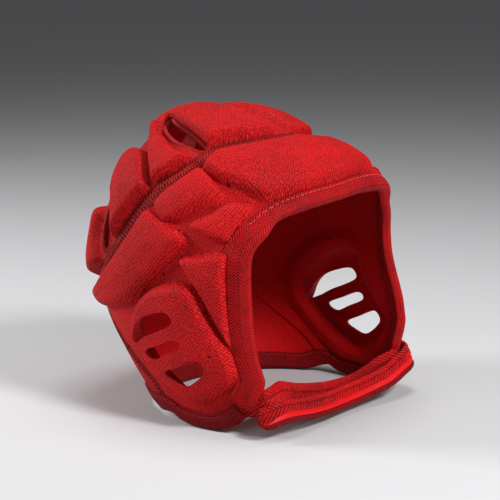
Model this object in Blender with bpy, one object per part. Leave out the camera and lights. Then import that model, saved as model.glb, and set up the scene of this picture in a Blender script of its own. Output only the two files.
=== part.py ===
"""Soft shell helmet: a padded head guard of foam pads in knitted cloth.

The shell is one rounded form, given by a short table of level sections. Two soft
shells lie on it and meet along a seam: the front shell (forehead, temples, cheeks
and ear guards) and the crown shell (crown, back of the head and nape). Pads stand
up from both, tapes bind their edges, and a chin strap joins the cheeks.
"""
import bpy
import numpy as np

MM = 0.001

# Level sections of the middle of the thin wall, from the top of the crown to the hem,
# with one more row below it to end the curves.
# columns: height, half width, front end, back end, squareness in front, squareness behind
LEVELS = np.array([
    (183.0, 0.0, 42.0, 42.0, 2.00, 2.00),
    (180.2, 24.0, 18.0, 63.0, 2.00, 2.00),
    (171.8, 44.0, -3.0, 79.0, 2.00, 2.05),
    (159.5, 60.0, -23.0, 92.0, 2.00, 2.10),
    (143.5, 72.0, -46.0, 104.0, 2.25, 2.15),
    (120.5, 79.5, -64.0, 114.0, 2.60, 2.25),
    (96.0, 82.0, -70.0, 119.0, 2.60, 2.30),
    (71.0, 82.0, -73.0, 118.0, 2.60, 2.30),
    (47.0, 81.0, -76.0, 106.0, 2.60, 2.30),
    (23.0, 79.5, -77.0, 90.0, 2.60, 2.20),
    (0.0, 77.0, -77.0, 71.0, 2.60, 2.10),
    (-23.0, 74.0, -77.0, 52.0, 2.60, 2.10),
])
ROWS_PER_LEVEL = 10
LAST_LEVEL = 1.1
MIDDLE_Y = 29.8
CROWN_CENTRE = np.array([0.0, 38.0, 85.0])
HALF_WALL = 1.6
SEAM_GAP = 0.8
CORNER_GAP = 1.6
TAPE_GAP = 0.9
EDGE_GAP = 0.8
RAY_STEP = 5.9
CELL = 8.0
FRONT_SPAN = 142.0
FRONT_LEVELS = (0.215, 1.03)
RAYS_ALONG = (-38.0, 219.0)
RAYS_ACROSS = 81.0
RAY_COLUMNS = 33
PAD_CLEAR = 6.0
PAD_FADE = 5.0
PAD_DOME = 0.12
DOME_REACH = 30.0
PATCH = 0.4

# Tapes are folded over the free edge; their outer leg is wider at the cheeks.
TAPE_THICK = 1.3
BROW_TAPE = 7.5
CHEEK_TAPE = 13.0
HEM_TAPE = 9.0
TAPE_STEP = 9.5
TAPE_ROUND = 0.4
FLAT_BELOW = 5.0
# columns: the angle where the change starts and the degrees that it takes
BROW_TO_CHEEK = (36.0, 12.0)
CHEEK_TO_HEM = (56.0, 6.0)

# The chin strap in two lengths, each a centre line from the wearer's right to left.
# columns: sideways, back, height, lean of the band's upper edge towards the chin
INNER_STRAP = (18.0, 2.6, [
    (-68.7, -44.6, 19.9, 0), (-66.8, -47.8, 19.4, 2), (-62.0, -49.3, 20.6, 8), (-50.0, -47.5, 21.5, 18),
    (-40.0, -46.0, 19.0, 25), (-28.0, -45.3, 15.6, 25), (0.0, -44.0, 10.6, 25), (25.0, -45.0, 10.2, 25),
    (42.0, -46.0, 13.4, 24), (52.0, -47.5, 17.4, 18), (62.0, -49.3, 20.0, 8), (66.8, -47.8, 19.4, 2),
    (68.7, -44.6, 19.9, 0)])
OUTER_STRAP = (14.0, 3.2, [
    (-78.0, -52.6, 12.2, 29), (-72.5, -56.2, 13.9, 30), (-65.0, -58.4, 15.4, 32), (-54.0, -59.1, 15.4, 32),
    (-36.0, -58.2, 12.9, 33), (-18.0, -56.8, 11.4, 36), (-2.0, -54.6, 10.8, 38), (14.0, -53.7, 11.1, 38),
    (30.0, -54.5, 12.7, 36), (46.0, -56.2, 15.6, 36), (60.0, -55.4, 19.4, 40), (70.0, -54.1, 22.2, 34),
    (77.5, -50.0, 23.8, 20), (81.0, -43.0, 24.0, 6), (82.2, -38.5, 23.8, 0)])

# Webbing that bridges the gaps from inside: angle and level ranges and depth range.
CROWN_TAB = ((74.0, 88.0), (0.185, 0.296))
REAR_STRAP = ((121.5, 127.5), (0.425, 0.622))
WEBBING = (-3.6, -2.1)
WEBBING_GRID = (4, 6)

# The soft helmet stands a little crooked: the brow is higher at the wearer's left, the
# crown is lower there, and the left cheek and brow corner swing out.
BROW_LEAN = 0.09
BROW_HEIGHT = 140.0
BROW_REACH = 32.0
BROW_ABOVE = 0.64
BROW_BACK = 5.0
BROW_FADE = 40.0
CROWN_LEAN = 0.07
CROWN_FROM = 158.0
CROWN_FADE = 20.0
SWING_WAY = (0.66, -0.75)
SWING_SIDE = (15.0, 35.0)
SWING_FRONT = (15.0, 25.0)
# columns: amount, lowest height and its fade, highest height and its fade
SWINGS = [(5.0, 122.0, 12.0, 150.0, 9.0), (5.5, 29.0, 20.0, 96.0, 38.0)]
NAPE_LIFT = 4.0
NAPE_SIDE = (20.0, 30.0)
NAPE_BACK = (15.0, 25.0)
NAPE_HEIGHT = 40.0

# Places on the shell are (angle from the front in degrees, level from 0 at the top
# to 1 at the hem). Both sides are alike, so the tables give one side.
DEGREE = 1.45
LEVEL = 245.0
SEAM = [
    (0, 0.243), (18, 0.256), (33, 0.268), (49, 0.283), (60, 0.303), (72, 0.352),
    (80, 0.387), (88, 0.419), (98, 0.481), (108, 0.563), (115, 0.612), (124, 0.662),
    (133, 0.700), (130, 0.755), (118.5, 0.826), (107.5, 0.891), (102.5, 0.943),
    (101, 0.990), (100, 1.080),
]
SEAM_CORNER = 12
CORNER_REACH = 10.0
FREE_EDGE = [
    (0, 0.428), (19, 0.430), (36.5, 0.447), (44.5, 0.491), (50.5, 0.541),
    (52, 0.596), (52.5, 0.677), (53, 0.737), (53, 0.802), (52, 0.840), (52, 0.866),
    (56, 0.910), (61, 0.947), (67, 0.972), (77, 0.9915), (90, 0.9915), (97, 0.985),
    (101.5, 0.972), (107, 0.976), (116, 0.9900), (130, 0.9915), (150, 0.9915), (180, 0.9915),
]
CHEEK_CORNER = 10
HEM_FRONT = 12

# columns: name, raise, bevel, outline rows
FRONT_PADS = [
    ("forehead", 8.5, 8.0, [(-40, 0.225), (-20, 0.225), (0, 0.225), (20, 0.230), (40, 0.255), (58, 0.285),
                            (66, 0.340), (58, 0.372), (47, 0.393), (39, 0.420), (28, 0.418),
                            (12, 0.405), (0, 0.402), (-12, 0.405), (-28, 0.418), (-40, 0.420)]),
    ("temple_upper", 6.5, 8.0, [(67, 0.335), (60, 0.378), (57.5, 0.402), (62, 0.428), (69, 0.447),
                                (82, 0.487), (88, 0.480), (92, 0.448), (88, 0.415), (76, 0.360)]),
    ("temple_lower", 6.5, 8.0, [(74, 0.488), (65, 0.452), (56, 0.416), (46, 0.416), (43, 0.440),
                                (48, 0.475), (53, 0.505), (58, 0.517), (66, 0.512)]),
    ("rear_band", 8.0, 10.0, [(94, 0.455), (85, 0.480), (76, 0.508), (75, 0.532), (79, 0.560),
                              (85, 0.602), (92, 0.642), (103, 0.698), (114, 0.722), (127, 0.735),
                              (138, 0.700), (124, 0.645), (112, 0.580), (104, 0.520), (98, 0.465)]),
    ("cheek", 6.5, 9.0, [(78, 0.569), (68, 0.555), (58, 0.543), (52, 0.560), (52, 0.650),
                         (54, 0.750), (58.5, 0.815), (60.5, 0.790), (64, 0.735), (69, 0.660),
                         (74, 0.613)]),
    ("ear_guard", 10.0, 13.0, [(88.5, 0.640), (76, 0.620), (70, 0.635), (66, 0.697), (61.5, 0.762),
                               (58, 0.814), (59, 0.855), (65, 0.890), (75, 0.928), (83, 0.932),
                               (92, 0.912), (101, 0.870), (106, 0.818), (108, 0.779),
                               (104, 0.722), (97, 0.672)]),
]
CROWN_PADS = [
    ("crown_side", 7.0, 9.0, [(66, 0.300), (78, 0.350), (88, 0.395), (93, 0.418), (98, 0.365),
                              (107, 0.302), (117, 0.262), (136, 0.232), (142, 0.205), (128, 0.196),
                              (112, 0.222), (98, 0.252), (86, 0.280), (76, 0.295)]),
    ("rear_side", 8.0, 9.0, [(97, 0.420), (102, 0.362), (110, 0.305), (122, 0.300), (132, 0.335),
                             (129, 0.400), (124, 0.445), (117, 0.500), (116, 0.555), (118, 0.610),
                             (110, 0.600), (104, 0.500)]),
    ("rear_low", 9.0, 9.0, [(134, 0.505), (135, 0.560), (127, 0.605), (122, 0.640), (130, 0.680),
                            (142, 0.672), (152, 0.632), (153, 0.560), (146, 0.500)]),
    ("rear_middle", 5.5, 10.0, [(210, 0.290), (180, 0.290), (168, 0.300), (158, 0.350), (154, 0.420),
                                (160, 0.500), (164, 0.575), (172, 0.585), (180, 0.585), (210, 0.585)]),
    ("nape", 4.5, 10.0, [(210, 0.665), (180, 0.665), (168, 0.672), (158, 0.705), (152, 0.760),
                         (147, 0.835), (144, 0.885), (150, 0.910), (165, 0.925), (180, 0.930), (210, 0.930)]),
]
# The two long pads on the crown are given from above, as (sideways, back).
TOP_PAD = (6.8, 10.0, [(5, -30), (6, 0), (7, 30), (8, 58), (14, 74), (28, 76), (37, 66), (45, 52),
                       (50, 38), (52, 24), (52, 10), (50, -12), (32, -30), (16, -36)])
SLOTS = [
    ("slot_top", [(104, 0.797), (101, 0.757), (96, 0.726), (89, 0.707), (82, 0.696), (79.5, 0.708),
                  (80, 0.724), (86, 0.744), (94, 0.765), (100, 0.785)]),
    ("slot_middle", [(97.5, 0.806), (94, 0.824), (86, 0.803), (78.5, 0.781), (78.2, 0.764),
                     (82, 0.764), (90, 0.785)]),
    ("slot_low", [(90, 0.852), (86, 0.870), (81, 0.877), (75, 0.858), (70.5, 0.830), (72, 0.806),
                  (76, 0.811), (83, 0.831)]),
]
CROWN_HOLES = [
    ("crown_gap", [(62, 0.268), (70, 0.232), (83, 0.200), (98, 0.178), (112, 0.164), (126, 0.156),
                   (131, 0.174), (117, 0.204), (101, 0.232), (88, 0.254), (76, 0.270), (67, 0.280)]),
    ("rear_gap", [(121, 0.455), (118.5, 0.500), (118, 0.550), (121, 0.590), (127, 0.588), (131, 0.540),
                  (130, 0.480), (126, 0.452)]),
]
FLANGE = 6.0
SEAM_DROP = 0.45
CUP_DEPTH = 8.0
CUP_RIM = 2.5
# columns: the distance inside the ear guard's outline, and the length of the slope
CUP_SLOPE = (3.0, 12.0)
CUP_RIM_SLOPE = (-2.0, 9.0)
# How far under and over the middle surface the holes are cut.
HOLE_REACH = (-8.0, 24.0)

CLOTH_RED = (0.62, 0.010, 0.016, 1.0)
TAPE_RED = (0.42, 0.008, 0.012, 1.0)
SATIN_RED = (0.70, 0.014, 0.018, 1.0)


def clear_scene():
    for item in list(bpy.data.objects):
        bpy.data.objects.remove(item)


def ease(x):
    """A smooth step from 0 to 1."""
    x = np.clip(x, 0.0, 1.0)
    return x * x * (3.0 - 2.0 * x)


def column(level, index, even=False):
    """One column of LEVELS at any level: a Catmull-Rom curve through its rows."""
    rows = LEVELS[:, index]
    first = rows[1] if even else 2 * rows[0] - rows[1]
    padded = np.concatenate([[first], rows, [2 * rows[-1] - rows[-2]]])
    place = np.clip(np.asarray(level, float), 0.0, LAST_LEVEL) * ROWS_PER_LEVEL
    i = np.minimum(place.astype(int), len(rows) - 2)
    f = place - i
    a, b, c, d = padded[i], padded[i + 1], padded[i + 2], padded[i + 3]
    return 0.5 * (2 * b + (c - a) * f + (2 * a - 5 * b + 4 * c - d) * f**2
                  + (3 * b - a - 3 * c + d) * f**3)


def section(level):
    """Half width, middle, half length and the two squareness values of a level."""
    half, front, back, square_front, square_back = [column(level, k) for k in range(1, 6)]
    return half, (front + back) / 2, (back - front) / 2, square_front, square_back


def shell_point(angle, level):
    """The point of the shell at an angle from the front and a level."""
    angle, level = np.broadcast_arrays(np.radians(np.asarray(angle, float)), np.asarray(level, float))
    half, middle, length, square_front, square_back = section(level)
    side, back = np.sin(angle), -np.cos(angle)
    power = square_back + (square_front - square_back) * ease(-back)
    reach = (np.abs(side)**power + np.abs(back)**power)**(-1 / power)
    return np.stack([half * reach * side, middle + length * reach * back, column(level, 0, True)], -1)


LEVEL_STEPS = np.linspace(0.0, LAST_LEVEL, 441)
LEVEL_HEIGHTS = column(LEVEL_STEPS, 0, True)


def place_of(point):
    """The angle and level of a point, and its value: under 1 inside the section."""
    level = np.interp(point[..., 2], LEVEL_HEIGHTS[::-1], LEVEL_STEPS[::-1])
    half, middle, length, square_front, square_back = section(level)
    side = point[..., 0] / np.maximum(half, 1e-6)
    back = (point[..., 1] - middle) / np.maximum(length, 1e-6)
    angle = np.arctan2(side, -back)
    power = square_back + (square_front - square_back) * ease(np.cos(angle))
    value = np.abs(side)**power + np.abs(back)**power
    return np.degrees(angle), level, value


def crown_point(along, across):
    """The point that a ray from the crown's centre meets, found by halving steps."""
    along, across = np.broadcast_arrays(np.radians(along), np.radians(across))
    ray = np.stack([np.sin(across), np.cos(across) * np.sin(along), np.cos(across) * np.cos(along)], -1)
    near, far = np.full(along.shape, 20.0), np.full(along.shape, 180.0)
    for _ in range(24):
        half_way = (near + far) / 2
        inside = place_of(CROWN_CENTRE + ray * half_way[..., None])[2] < 1
        near, far = np.where(inside, half_way, near), np.where(inside, far, half_way)
    return CROWN_CENTRE + ray * near[..., None]


def outward(surface, first, second, step):
    """Unit normals of a surface from its small differences, pointing out."""
    along = surface(first + step[0], second) - surface(first - step[0], second)
    across = surface(first, second + step[1]) - surface(first, second - step[1])
    normal = np.cross(along, across)
    normal /= np.maximum(np.linalg.norm(normal, axis=-1, keepdims=True), 1e-9)
    away = surface(first, second) - CROWN_CENTRE
    return normal * np.sign(np.sum(normal * away, -1, keepdims=True))


def smooth_ring(rows, steps=4):
    """A closed curve through rows, with a few points between each two."""
    rows = np.array(rows, float)
    f = np.linspace(0, 1, steps, endpoint=False)[:, None]
    a, b, c, d = (np.roll(rows, s, 0)[:, None] for s in (1, 0, -1, -2))
    ring = 0.5 * (2 * b + (c - a) * f + (2 * a - 5 * b + 4 * c - d) * f**2
                  + (3 * b - a - 3 * c + d) * f**3)
    return ring.reshape(-1, 2)


def smooth_path(rows, steps=4):
    """An open curve through rows of any number of columns."""
    rows = np.array(rows, float)
    padded = np.concatenate([[2 * rows[0] - rows[1]], rows, [2 * rows[-1] - rows[-2]]])
    f = np.linspace(0, 1, steps, endpoint=False)[:, None]
    a, b, c, d = (padded[s:len(rows) - 1 + s, None] for s in range(4))
    path = 0.5 * (2 * b + (c - a) * f + (2 * a - 5 * b + 4 * c - d) * f**2
                  + (3 * b - a - 3 * c + d) * f**3)
    return np.concatenate([path.reshape(-1, rows.shape[1]), rows[-1:]])


def depth_inside(points, ring):
    """Distance of points from a closed outline, above 0 inside it."""
    start, end = ring, np.roll(ring, -1, 0)
    edge = end - start
    offset = points[:, None] - start[None]
    share = np.clip(np.sum(offset * edge, -1) / np.maximum(np.sum(edge * edge, -1), 1e-9), 0, 1)
    distance = np.linalg.norm(offset - share[..., None] * edge, axis=-1).min(1)
    rises = (start[None, :, 1] <= points[:, None, 1]) != (end[None, :, 1] <= points[:, None, 1])
    slope = np.where(np.abs(edge[:, 1]) < 1e-9, 1e-9, edge[:, 1])
    cross_at = start[:, 0] + (points[:, None, 1] - start[None, :, 1]) / slope * edge[:, 0]
    inside = np.sum(rises & (points[:, None, 0] < cross_at), 1) % 2 == 1
    return np.where(inside, distance, -distance)


def in_mm(places):
    """Places on one side as sideways and downward lengths along the cloth."""
    return np.stack([np.abs(places[:, 0]) * DEGREE, places[:, 1] * LEVEL], -1)


def mm_ring(rows, steps=4):
    return smooth_ring(rows, steps) * (DEGREE, LEVEL)


FAR = 240
FRONT_REGION = np.concatenate([smooth_path([(-x, y) for x, y in SEAM[3:0:-1]] + SEAM),
                               [(-60, 1.08)]]) * (DEGREE, LEVEL)
VOID_REGION = np.concatenate([[(-60, 0.428)], smooth_path(FREE_EDGE),
                              [(FAR, 0.9915), (FAR, 1.3), (-60, 1.3)]]) * (DEGREE, LEVEL)


def seam_depth(places):
    """How far places lie inside the front shell, from the seam."""
    return depth_inside(in_mm(places), FRONT_REGION)


def edge_depth(places):
    """How far places lie from the free edge of the helmet."""
    return -depth_inside(in_mm(places), VOID_REGION)


def tape_width(angle):
    """The face tape is wide at the cheeks and narrow over the brow."""
    start, length = BROW_TO_CHEEK
    return BROW_TAPE + (CHEEK_TAPE - BROW_TAPE) * ease((np.abs(angle) - start) / length)


def clear_of_tape(places):
    """0 under the tapes and for a cell beside them, rising to 1 where pads may stand."""
    angle = places[:, 0]
    start, length = CHEEK_TO_HEM
    at_hem = ease((np.abs(angle) - start) / length)
    width = tape_width(angle) * (1 - at_hem) + HEM_TAPE * at_hem
    return ease((edge_depth(places) - width - PAD_CLEAR) / PAD_FADE)


def pad_height(depth, rise, bevel):
    """A pad's height over its outline: an eased bevel and a slightly domed top."""
    return rise * (ease(depth / bevel) + PAD_DOME * ease(depth / DOME_REACH))


def averaged(height, places):
    """A height field averaged over a small patch, so that coarse faces follow it."""
    total = 0.0
    for side in (-1, 0, 1):
        for down in (-1, 0, 1):
            total = total + height(places + np.array([side / DEGREE, down / LEVEL]) * CELL * PATCH)
    return total / 9


def front_pads(places):
    points = in_mm(places)
    height = np.zeros(len(places))
    for name, rise, bevel, rows in FRONT_PADS:
        depth = depth_inside(points, mm_ring(rows))
        height = np.maximum(height, pad_height(depth, rise, bevel))
    return height


def front_height(places):
    """The pads of the front shell, flat under the tape and rounded off at the seam."""
    at_seam = 1 - SEAM_DROP * (1 - ease(seam_depth(places) / CELL))
    return averaged(front_pads, places) * clear_of_tape(places) * at_seam


def cup_depth(places):
    """The ear cup inside: a recess under the ear guard with a soft rim round it."""
    depth = depth_inside(in_mm(places), mm_ring(FRONT_PADS[-1][3]))
    start, length = CUP_SLOPE
    middle, reach = CUP_RIM_SLOPE
    return CUP_DEPTH * ease((depth - start) / length) - CUP_RIM * ease(1 - np.abs(depth - middle) / reach)


def cup_height(places):
    return averaged(cup_depth, places) * clear_of_tape(places)


def crown_pads(places):
    flat = in_mm(places)
    height = np.zeros(len(places))
    for name, rise, bevel, rows in CROWN_PADS:
        height = np.maximum(height, pad_height(depth_inside(flat, mm_ring(rows)), rise, bevel))
    rise, bevel, rows = TOP_PAD
    points = shell_point(places[:, 0], places[:, 1])
    above = np.stack([np.abs(points[:, 0]), points[:, 1]], -1)
    return np.maximum(height, pad_height(depth_inside(above, smooth_ring(rows)), rise, bevel))


def crown_height(places):
    """The pads of the crown shell, which leave a flat flange along the seam."""
    flange = ease((-seam_depth(places) - FLANGE) / CELL)
    return averaged(crown_pads, places) * flange * clear_of_tape(places)


def corner_room(places):
    """More room round the seam's back corner, where straight cuts would touch."""
    offset = in_mm(places) - np.array(SEAM[SEAM_CORNER]) * (DEGREE, LEVEL)
    return CORNER_GAP * ease(1 - np.linalg.norm(offset, axis=1) / CORNER_REACH)


def trim(points, faces, field, cell):
    """Cut a flat triangle mesh along the line where field is 0, keeping field above 0.

    Corners near the line are first moved onto it, then each triangle that it
    crosses is cut at its edges.
    """
    points = points.copy()
    for _ in range(3):
        value = field(points)
        near = np.abs(value) < 0.3 * cell
        slope = np.stack([(field(points[near] + d) - field(points[near] - d)) / (2 * np.abs(d).sum())
                          for d in ((0.05, 0.0), (0.0, 0.0002))], -1)
        scale = np.array([DEGREE, LEVEL])
        mm_slope = slope / scale
        shift = value[near, None] * mm_slope / np.maximum(np.sum(mm_slope**2, -1, keepdims=True), 0.2)
        points[near] -= shift / scale
    value = field(points)
    value[near & (np.abs(value) < 0.5)] = 0.0
    sign = np.sign(value).astype(int)
    corner = sign[faces]
    whole = (corner.min(1) >= 0) & (corner.max(1) > 0)
    mixed = (corner.min(1) < 0) & (corner.max(1) > 0)
    cut = faces[mixed]
    first = np.argmax(sign[cut] < 0, axis=1)
    both = (sign[cut] < 0).sum(1) == 2
    last_kept = np.argmax(sign[cut] > 0, axis=1)
    first = np.where(both, last_kept, first)
    rows = np.arange(len(cut))
    a, b, c = (cut[rows, (first + k) % 3] for k in range(3))
    pairs = np.concatenate([np.stack([a, b], -1), np.stack([a, c], -1)])
    keys, slot = np.unique(np.sort(pairs, 1), axis=0, return_inverse=True)
    slot = slot.reshape(-1)
    crossing = sign[keys[:, 0]] * sign[keys[:, 1]] < 0
    low, high = value[keys[:, 0]], value[keys[:, 1]]
    share = np.where(crossing, low / np.where(crossing, low - high, 1), 0)
    fresh = points[keys[:, 0]] + share[:, None] * (points[keys[:, 1]] - points[keys[:, 0]])
    new_id = len(points) + np.arange(len(keys))
    on_b, on_c = new_id[slot[:len(cut)]], new_id[slot[len(cut):]]
    on_b = np.where(sign[b] == 0, b, on_b)
    on_c = np.where(sign[c] == 0, c, on_c)
    small = np.stack([a, on_b, on_c], -1)[both]
    one_off = ~both
    zero_b, zero_c = sign[b] == 0, sign[c] == 0
    quads = one_off & ~zero_b & ~zero_c
    parts = [faces[whole], small,
             np.stack([on_b, b, c], -1)[quads], np.stack([on_b, c, on_c], -1)[quads],
             np.stack([b, c, on_c], -1)[one_off & zero_b & ~zero_c],
             np.stack([on_b, b, c], -1)[one_off & zero_c & ~zero_b]]
    faces = np.concatenate(parts)
    points = np.concatenate([points, fresh])
    used, faces = np.unique(faces, return_inverse=True)
    return points[used], faces.reshape(-1, 3)


def grid(firsts, seconds):
    """A flat grid of triangles over two lists of values."""
    points = np.stack(np.meshgrid(firsts, seconds, indexing="ij"), -1).reshape(-1, 2)
    i, j = np.meshgrid(np.arange(len(firsts) - 1), np.arange(len(seconds) - 1), indexing="ij")
    a = (i * len(seconds) + j).reshape(-1)
    b, c, d = a + len(seconds), a + len(seconds) + 1, a + 1
    return points, np.concatenate([np.stack([a, b, c], -1), np.stack([a, c, d], -1)])


def thicken(outer, inner, faces):
    """Close two skins with the same faces into one solid, with a wall round each rim."""
    count = len(outer)
    edges = np.concatenate([faces[:, [0, 1]], faces[:, [1, 2]], faces[:, [2, 0]]])
    keys = edges[:, 0] * count + edges[:, 1]
    rim = edges[~np.isin(keys, edges[:, 1] * count + edges[:, 0])]
    a, b = rim[:, 0], rim[:, 1]
    walls = np.concatenate([np.stack([b, a, a + count], -1), np.stack([b, a + count, b + count], -1)])
    return np.concatenate([outer, inner]), np.concatenate([faces, faces[:, ::-1] + count, walls])


def stand(points):
    """Stand the soft form crooked, and bring millimetres of the head to metres of the row."""
    x, y, z = np.moveaxis(np.asarray(points, float), -1, 0)
    below = np.maximum(BROW_HEIGHT - z, (z - BROW_HEIGHT) * BROW_ABOVE)
    brow = BROW_LEAN * x * ease(1 - below / BROW_REACH) * ease((BROW_BACK - y) / BROW_FADE)
    crown = CROWN_LEAN * x * ease((z - CROWN_FROM) / CROWN_FADE)
    nape = NAPE_LIFT * ease((-x - NAPE_SIDE[0]) / NAPE_SIDE[1]) * ease((y - NAPE_BACK[0]) / NAPE_BACK[1])
    swing = 0.0
    for amount, low, low_fade, high, high_fade in SWINGS:
        swing = swing + amount * ease((z - low) / low_fade) * ease((high - z) / high_fade)
    swing = swing * ease((x - SWING_SIDE[0]) / SWING_SIDE[1]) * ease((-y - SWING_FRONT[0]) / SWING_FRONT[1])
    up = z + brow - crown + nape * ease(1 - z / NAPE_HEIGHT)
    return np.stack([x + SWING_WAY[0] * swing, y + SWING_WAY[1] * swing - MIDDLE_Y, up], -1) * MM


def material(name, colour, roughness):
    mat = bpy.data.materials.new(name)
    mat.use_nodes = True
    shader = mat.node_tree.nodes["Principled BSDF"]
    shader.inputs["Base Color"].default_value = colour
    shader.inputs["Roughness"].default_value = roughness
    shader.inputs["Metallic"].default_value = 0.0
    return mat


def solid(name, points, faces, mat):
    """An object from points in millimetres, with its faces pointing out."""
    points = stand(points)
    faces = np.asarray(faces)
    a, b, c = (points[faces[:, k]] for k in range(3))
    if np.sum(a * np.cross(b, c)) < 0:
        faces = faces[:, ::-1]
    mesh = bpy.data.meshes.new(name)
    mesh.from_pydata(points.tolist(), [], faces.tolist())
    mesh.validate()
    mesh.materials.append(mat)
    mesh.shade_smooth()
    mesh.set_sharp_from_angle(angle=np.radians(50))
    item = bpy.data.objects.new(name, mesh)
    bpy.context.scene.collection.objects.link(item)
    return item


def skin(places, offset):
    """Points over the shell at a height above its middle surface."""
    angle, level = places[:, 0], places[:, 1]
    normal = outward(shell_point, angle, level, (0.2, 0.001))
    return shell_point(angle, level) + normal * np.broadcast_to(offset, angle.shape)[:, None]


def cut_holes(body, holes):
    """Cut each outline through both sides of a shell."""
    for name, rows in holes:
        for side, sign in (("right", -1), ("left", 1)):
            ring = smooth_ring(rows, 2) * (sign, 1)
            count = len(ring)
            ends = np.concatenate([skin(ring, offset) for offset in HOLE_REACH])
            i = np.arange(count)
            j = (i + 1) % count
            walls = np.concatenate([np.stack([i, j, j + count], -1), np.stack([i, j + count, i + count], -1)])
            middle = ends.reshape(2, count, 3).mean(1)
            caps = np.concatenate([np.stack([j, i, i * 0 + 2 * count], -1),
                                   np.stack([i + count, j + count, i * 0 + 2 * count + 1], -1)])
            cutter = solid(name + "_cutter_" + side, np.concatenate([ends, middle]),
                           np.concatenate([walls, caps]), body.data.materials[0])
            cutter.hide_render = True
            cutter.display_type = "WIRE"
            cut = body.modifiers.new(name + "_" + side, "BOOLEAN")
            cut.operation = "DIFFERENCE"
            cut.solver = "EXACT"
            cut.object = cutter


def front_shell(mat):
    """Forehead, temples, cheeks and ear guards, with three slots at each ear."""
    count = int(2 * FRONT_SPAN * DEGREE / CELL)
    places, faces = grid(np.linspace(-FRONT_SPAN, FRONT_SPAN, count), np.arange(*FRONT_LEVELS, CELL / LEVEL))
    places, faces = trim(places, faces, lambda p: seam_depth(p) - SEAM_GAP / 2, CELL)
    places, faces = trim(places, faces, lambda p: edge_depth(p) - EDGE_GAP, CELL)
    outer = skin(places, HALF_WALL + front_height(places))
    inner = skin(places, -HALF_WALL + cup_height(places))
    points, faces = thicken(outer, inner, faces)
    body = solid("front_shell", points, faces, mat)
    cut_holes(body, SLOTS)
    return body


def crown_shell(mat):
    """Crown, back of the head and nape, with a gap beside the crown and one behind."""
    rays, faces = grid(np.arange(*RAYS_ALONG, RAY_STEP), np.linspace(-RAYS_ACROSS, RAYS_ACROSS, RAY_COLUMNS))

    def places(p):
        angle, level, _ = place_of(crown_point(p[:, 0], p[:, 1]))
        return np.stack([angle, level], -1)

    def seam_side(p):
        return -seam_depth(places(p)) - SEAM_GAP / 2 - corner_room(places(p))

    rays, faces = trim(rays, faces, seam_side, CELL)
    rays, faces = trim(rays, faces, lambda p: edge_depth(places(p)) - EDGE_GAP, CELL)
    base = crown_point(rays[:, 0], rays[:, 1])
    normal = outward(crown_point, rays[:, 0], rays[:, 1], (0.3, 0.3))
    outer = base + normal * (HALF_WALL + crown_height(places(rays)))[:, None]
    inner = base - normal * HALF_WALL
    points, faces = thicken(outer, inner, faces)
    body = solid("crown_shell", points, faces, mat)
    cut_holes(body, CROWN_HOLES)
    return body


def loft(sections):
    """A closed body through sections of points in the same order, capped at both ends."""
    count, size = sections.shape[:2]
    i, j = np.meshgrid(np.arange(count - 1), np.arange(size), indexing="ij")
    a, b = (i * size + j).reshape(-1), (i * size + (j + 1) % size).reshape(-1)
    faces = np.concatenate([np.stack([a, b, b + size], -1), np.stack([a, b + size, a + size], -1)])
    return sections.reshape(-1, 3), faces


def even_places(rows, spacing):
    """Places along a smooth path, evenly spaced, with the direction across it."""
    fine = smooth_path(rows, 12) * (DEGREE, LEVEL)
    reach = np.concatenate([[0], np.cumsum(np.linalg.norm(np.diff(fine, axis=0), axis=1))])
    stops = np.linspace(0, reach[-1], int(round(reach[-1] / spacing)) + 1)
    path = np.stack([np.interp(stops, reach, fine[:, k]) for k in (0, 1)], -1)
    along = np.gradient(path, axis=0)
    along /= np.linalg.norm(along, axis=1, keepdims=True)
    return path, np.stack([-along[:, 1], along[:, 0]], -1)


def edge_tape(name, rows, width, inner_width, mat, flat=False):
    """A tape folded over the free edge: a narrow channel along the places in rows."""
    path, across = even_places(rows, TAPE_STEP)
    if edge_depth((path[3:4] + across[3:4] * 2) / (DEGREE, LEVEL))[0] < 0:
        across = -across
    reach = width(path[:, 0] / DEGREE)
    low, high, out = HALF_WALL + TAPE_GAP, HALF_WALL + TAPE_GAP + TAPE_THICK, -TAPE_THICK
    corner = high - TAPE_ROUND
    profile = [(reach, low), (reach, high), (reach / 2, high), (out, corner), (out, -corner),
               (inner_width, -high), (inner_width, -low), (0.0, -low), (0.0, low), (reach / 2, low)]
    sections = []
    for aside, height in profile:
        places = (path + across * np.broadcast_to(aside, reach.shape)[:, None]) / (DEGREE, LEVEL)
        sections.append(skin(places, height))
    sections = np.stack(sections, 1)
    if flat:
        bottom = sections[:, 3:5]
        bottom[..., 2] = np.where(bottom[..., 2] < FLAT_BELOW, 0.0, bottom[..., 2])
        sections[..., 2] = np.maximum(sections[..., 2], 0.0)
    points, faces = loft(sections)
    last = len(points) - len(profile)
    faces = np.concatenate([faces, channel_caps(len(profile), last)])
    return solid(name, points, faces, mat)


def channel_caps(size, last):
    """Both end caps of a channel whose profile goes out along one side and back along the other."""
    strip = [(0, 1, 9), (1, 2, 9), (2, 3, 8), (2, 8, 9), (3, 4, 8), (4, 7, 8), (4, 5, 7), (5, 6, 7)]
    near = np.array([(c, b, a) for a, b, c in strip])
    far = np.array(strip) + last
    return np.concatenate([near, far])


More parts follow.
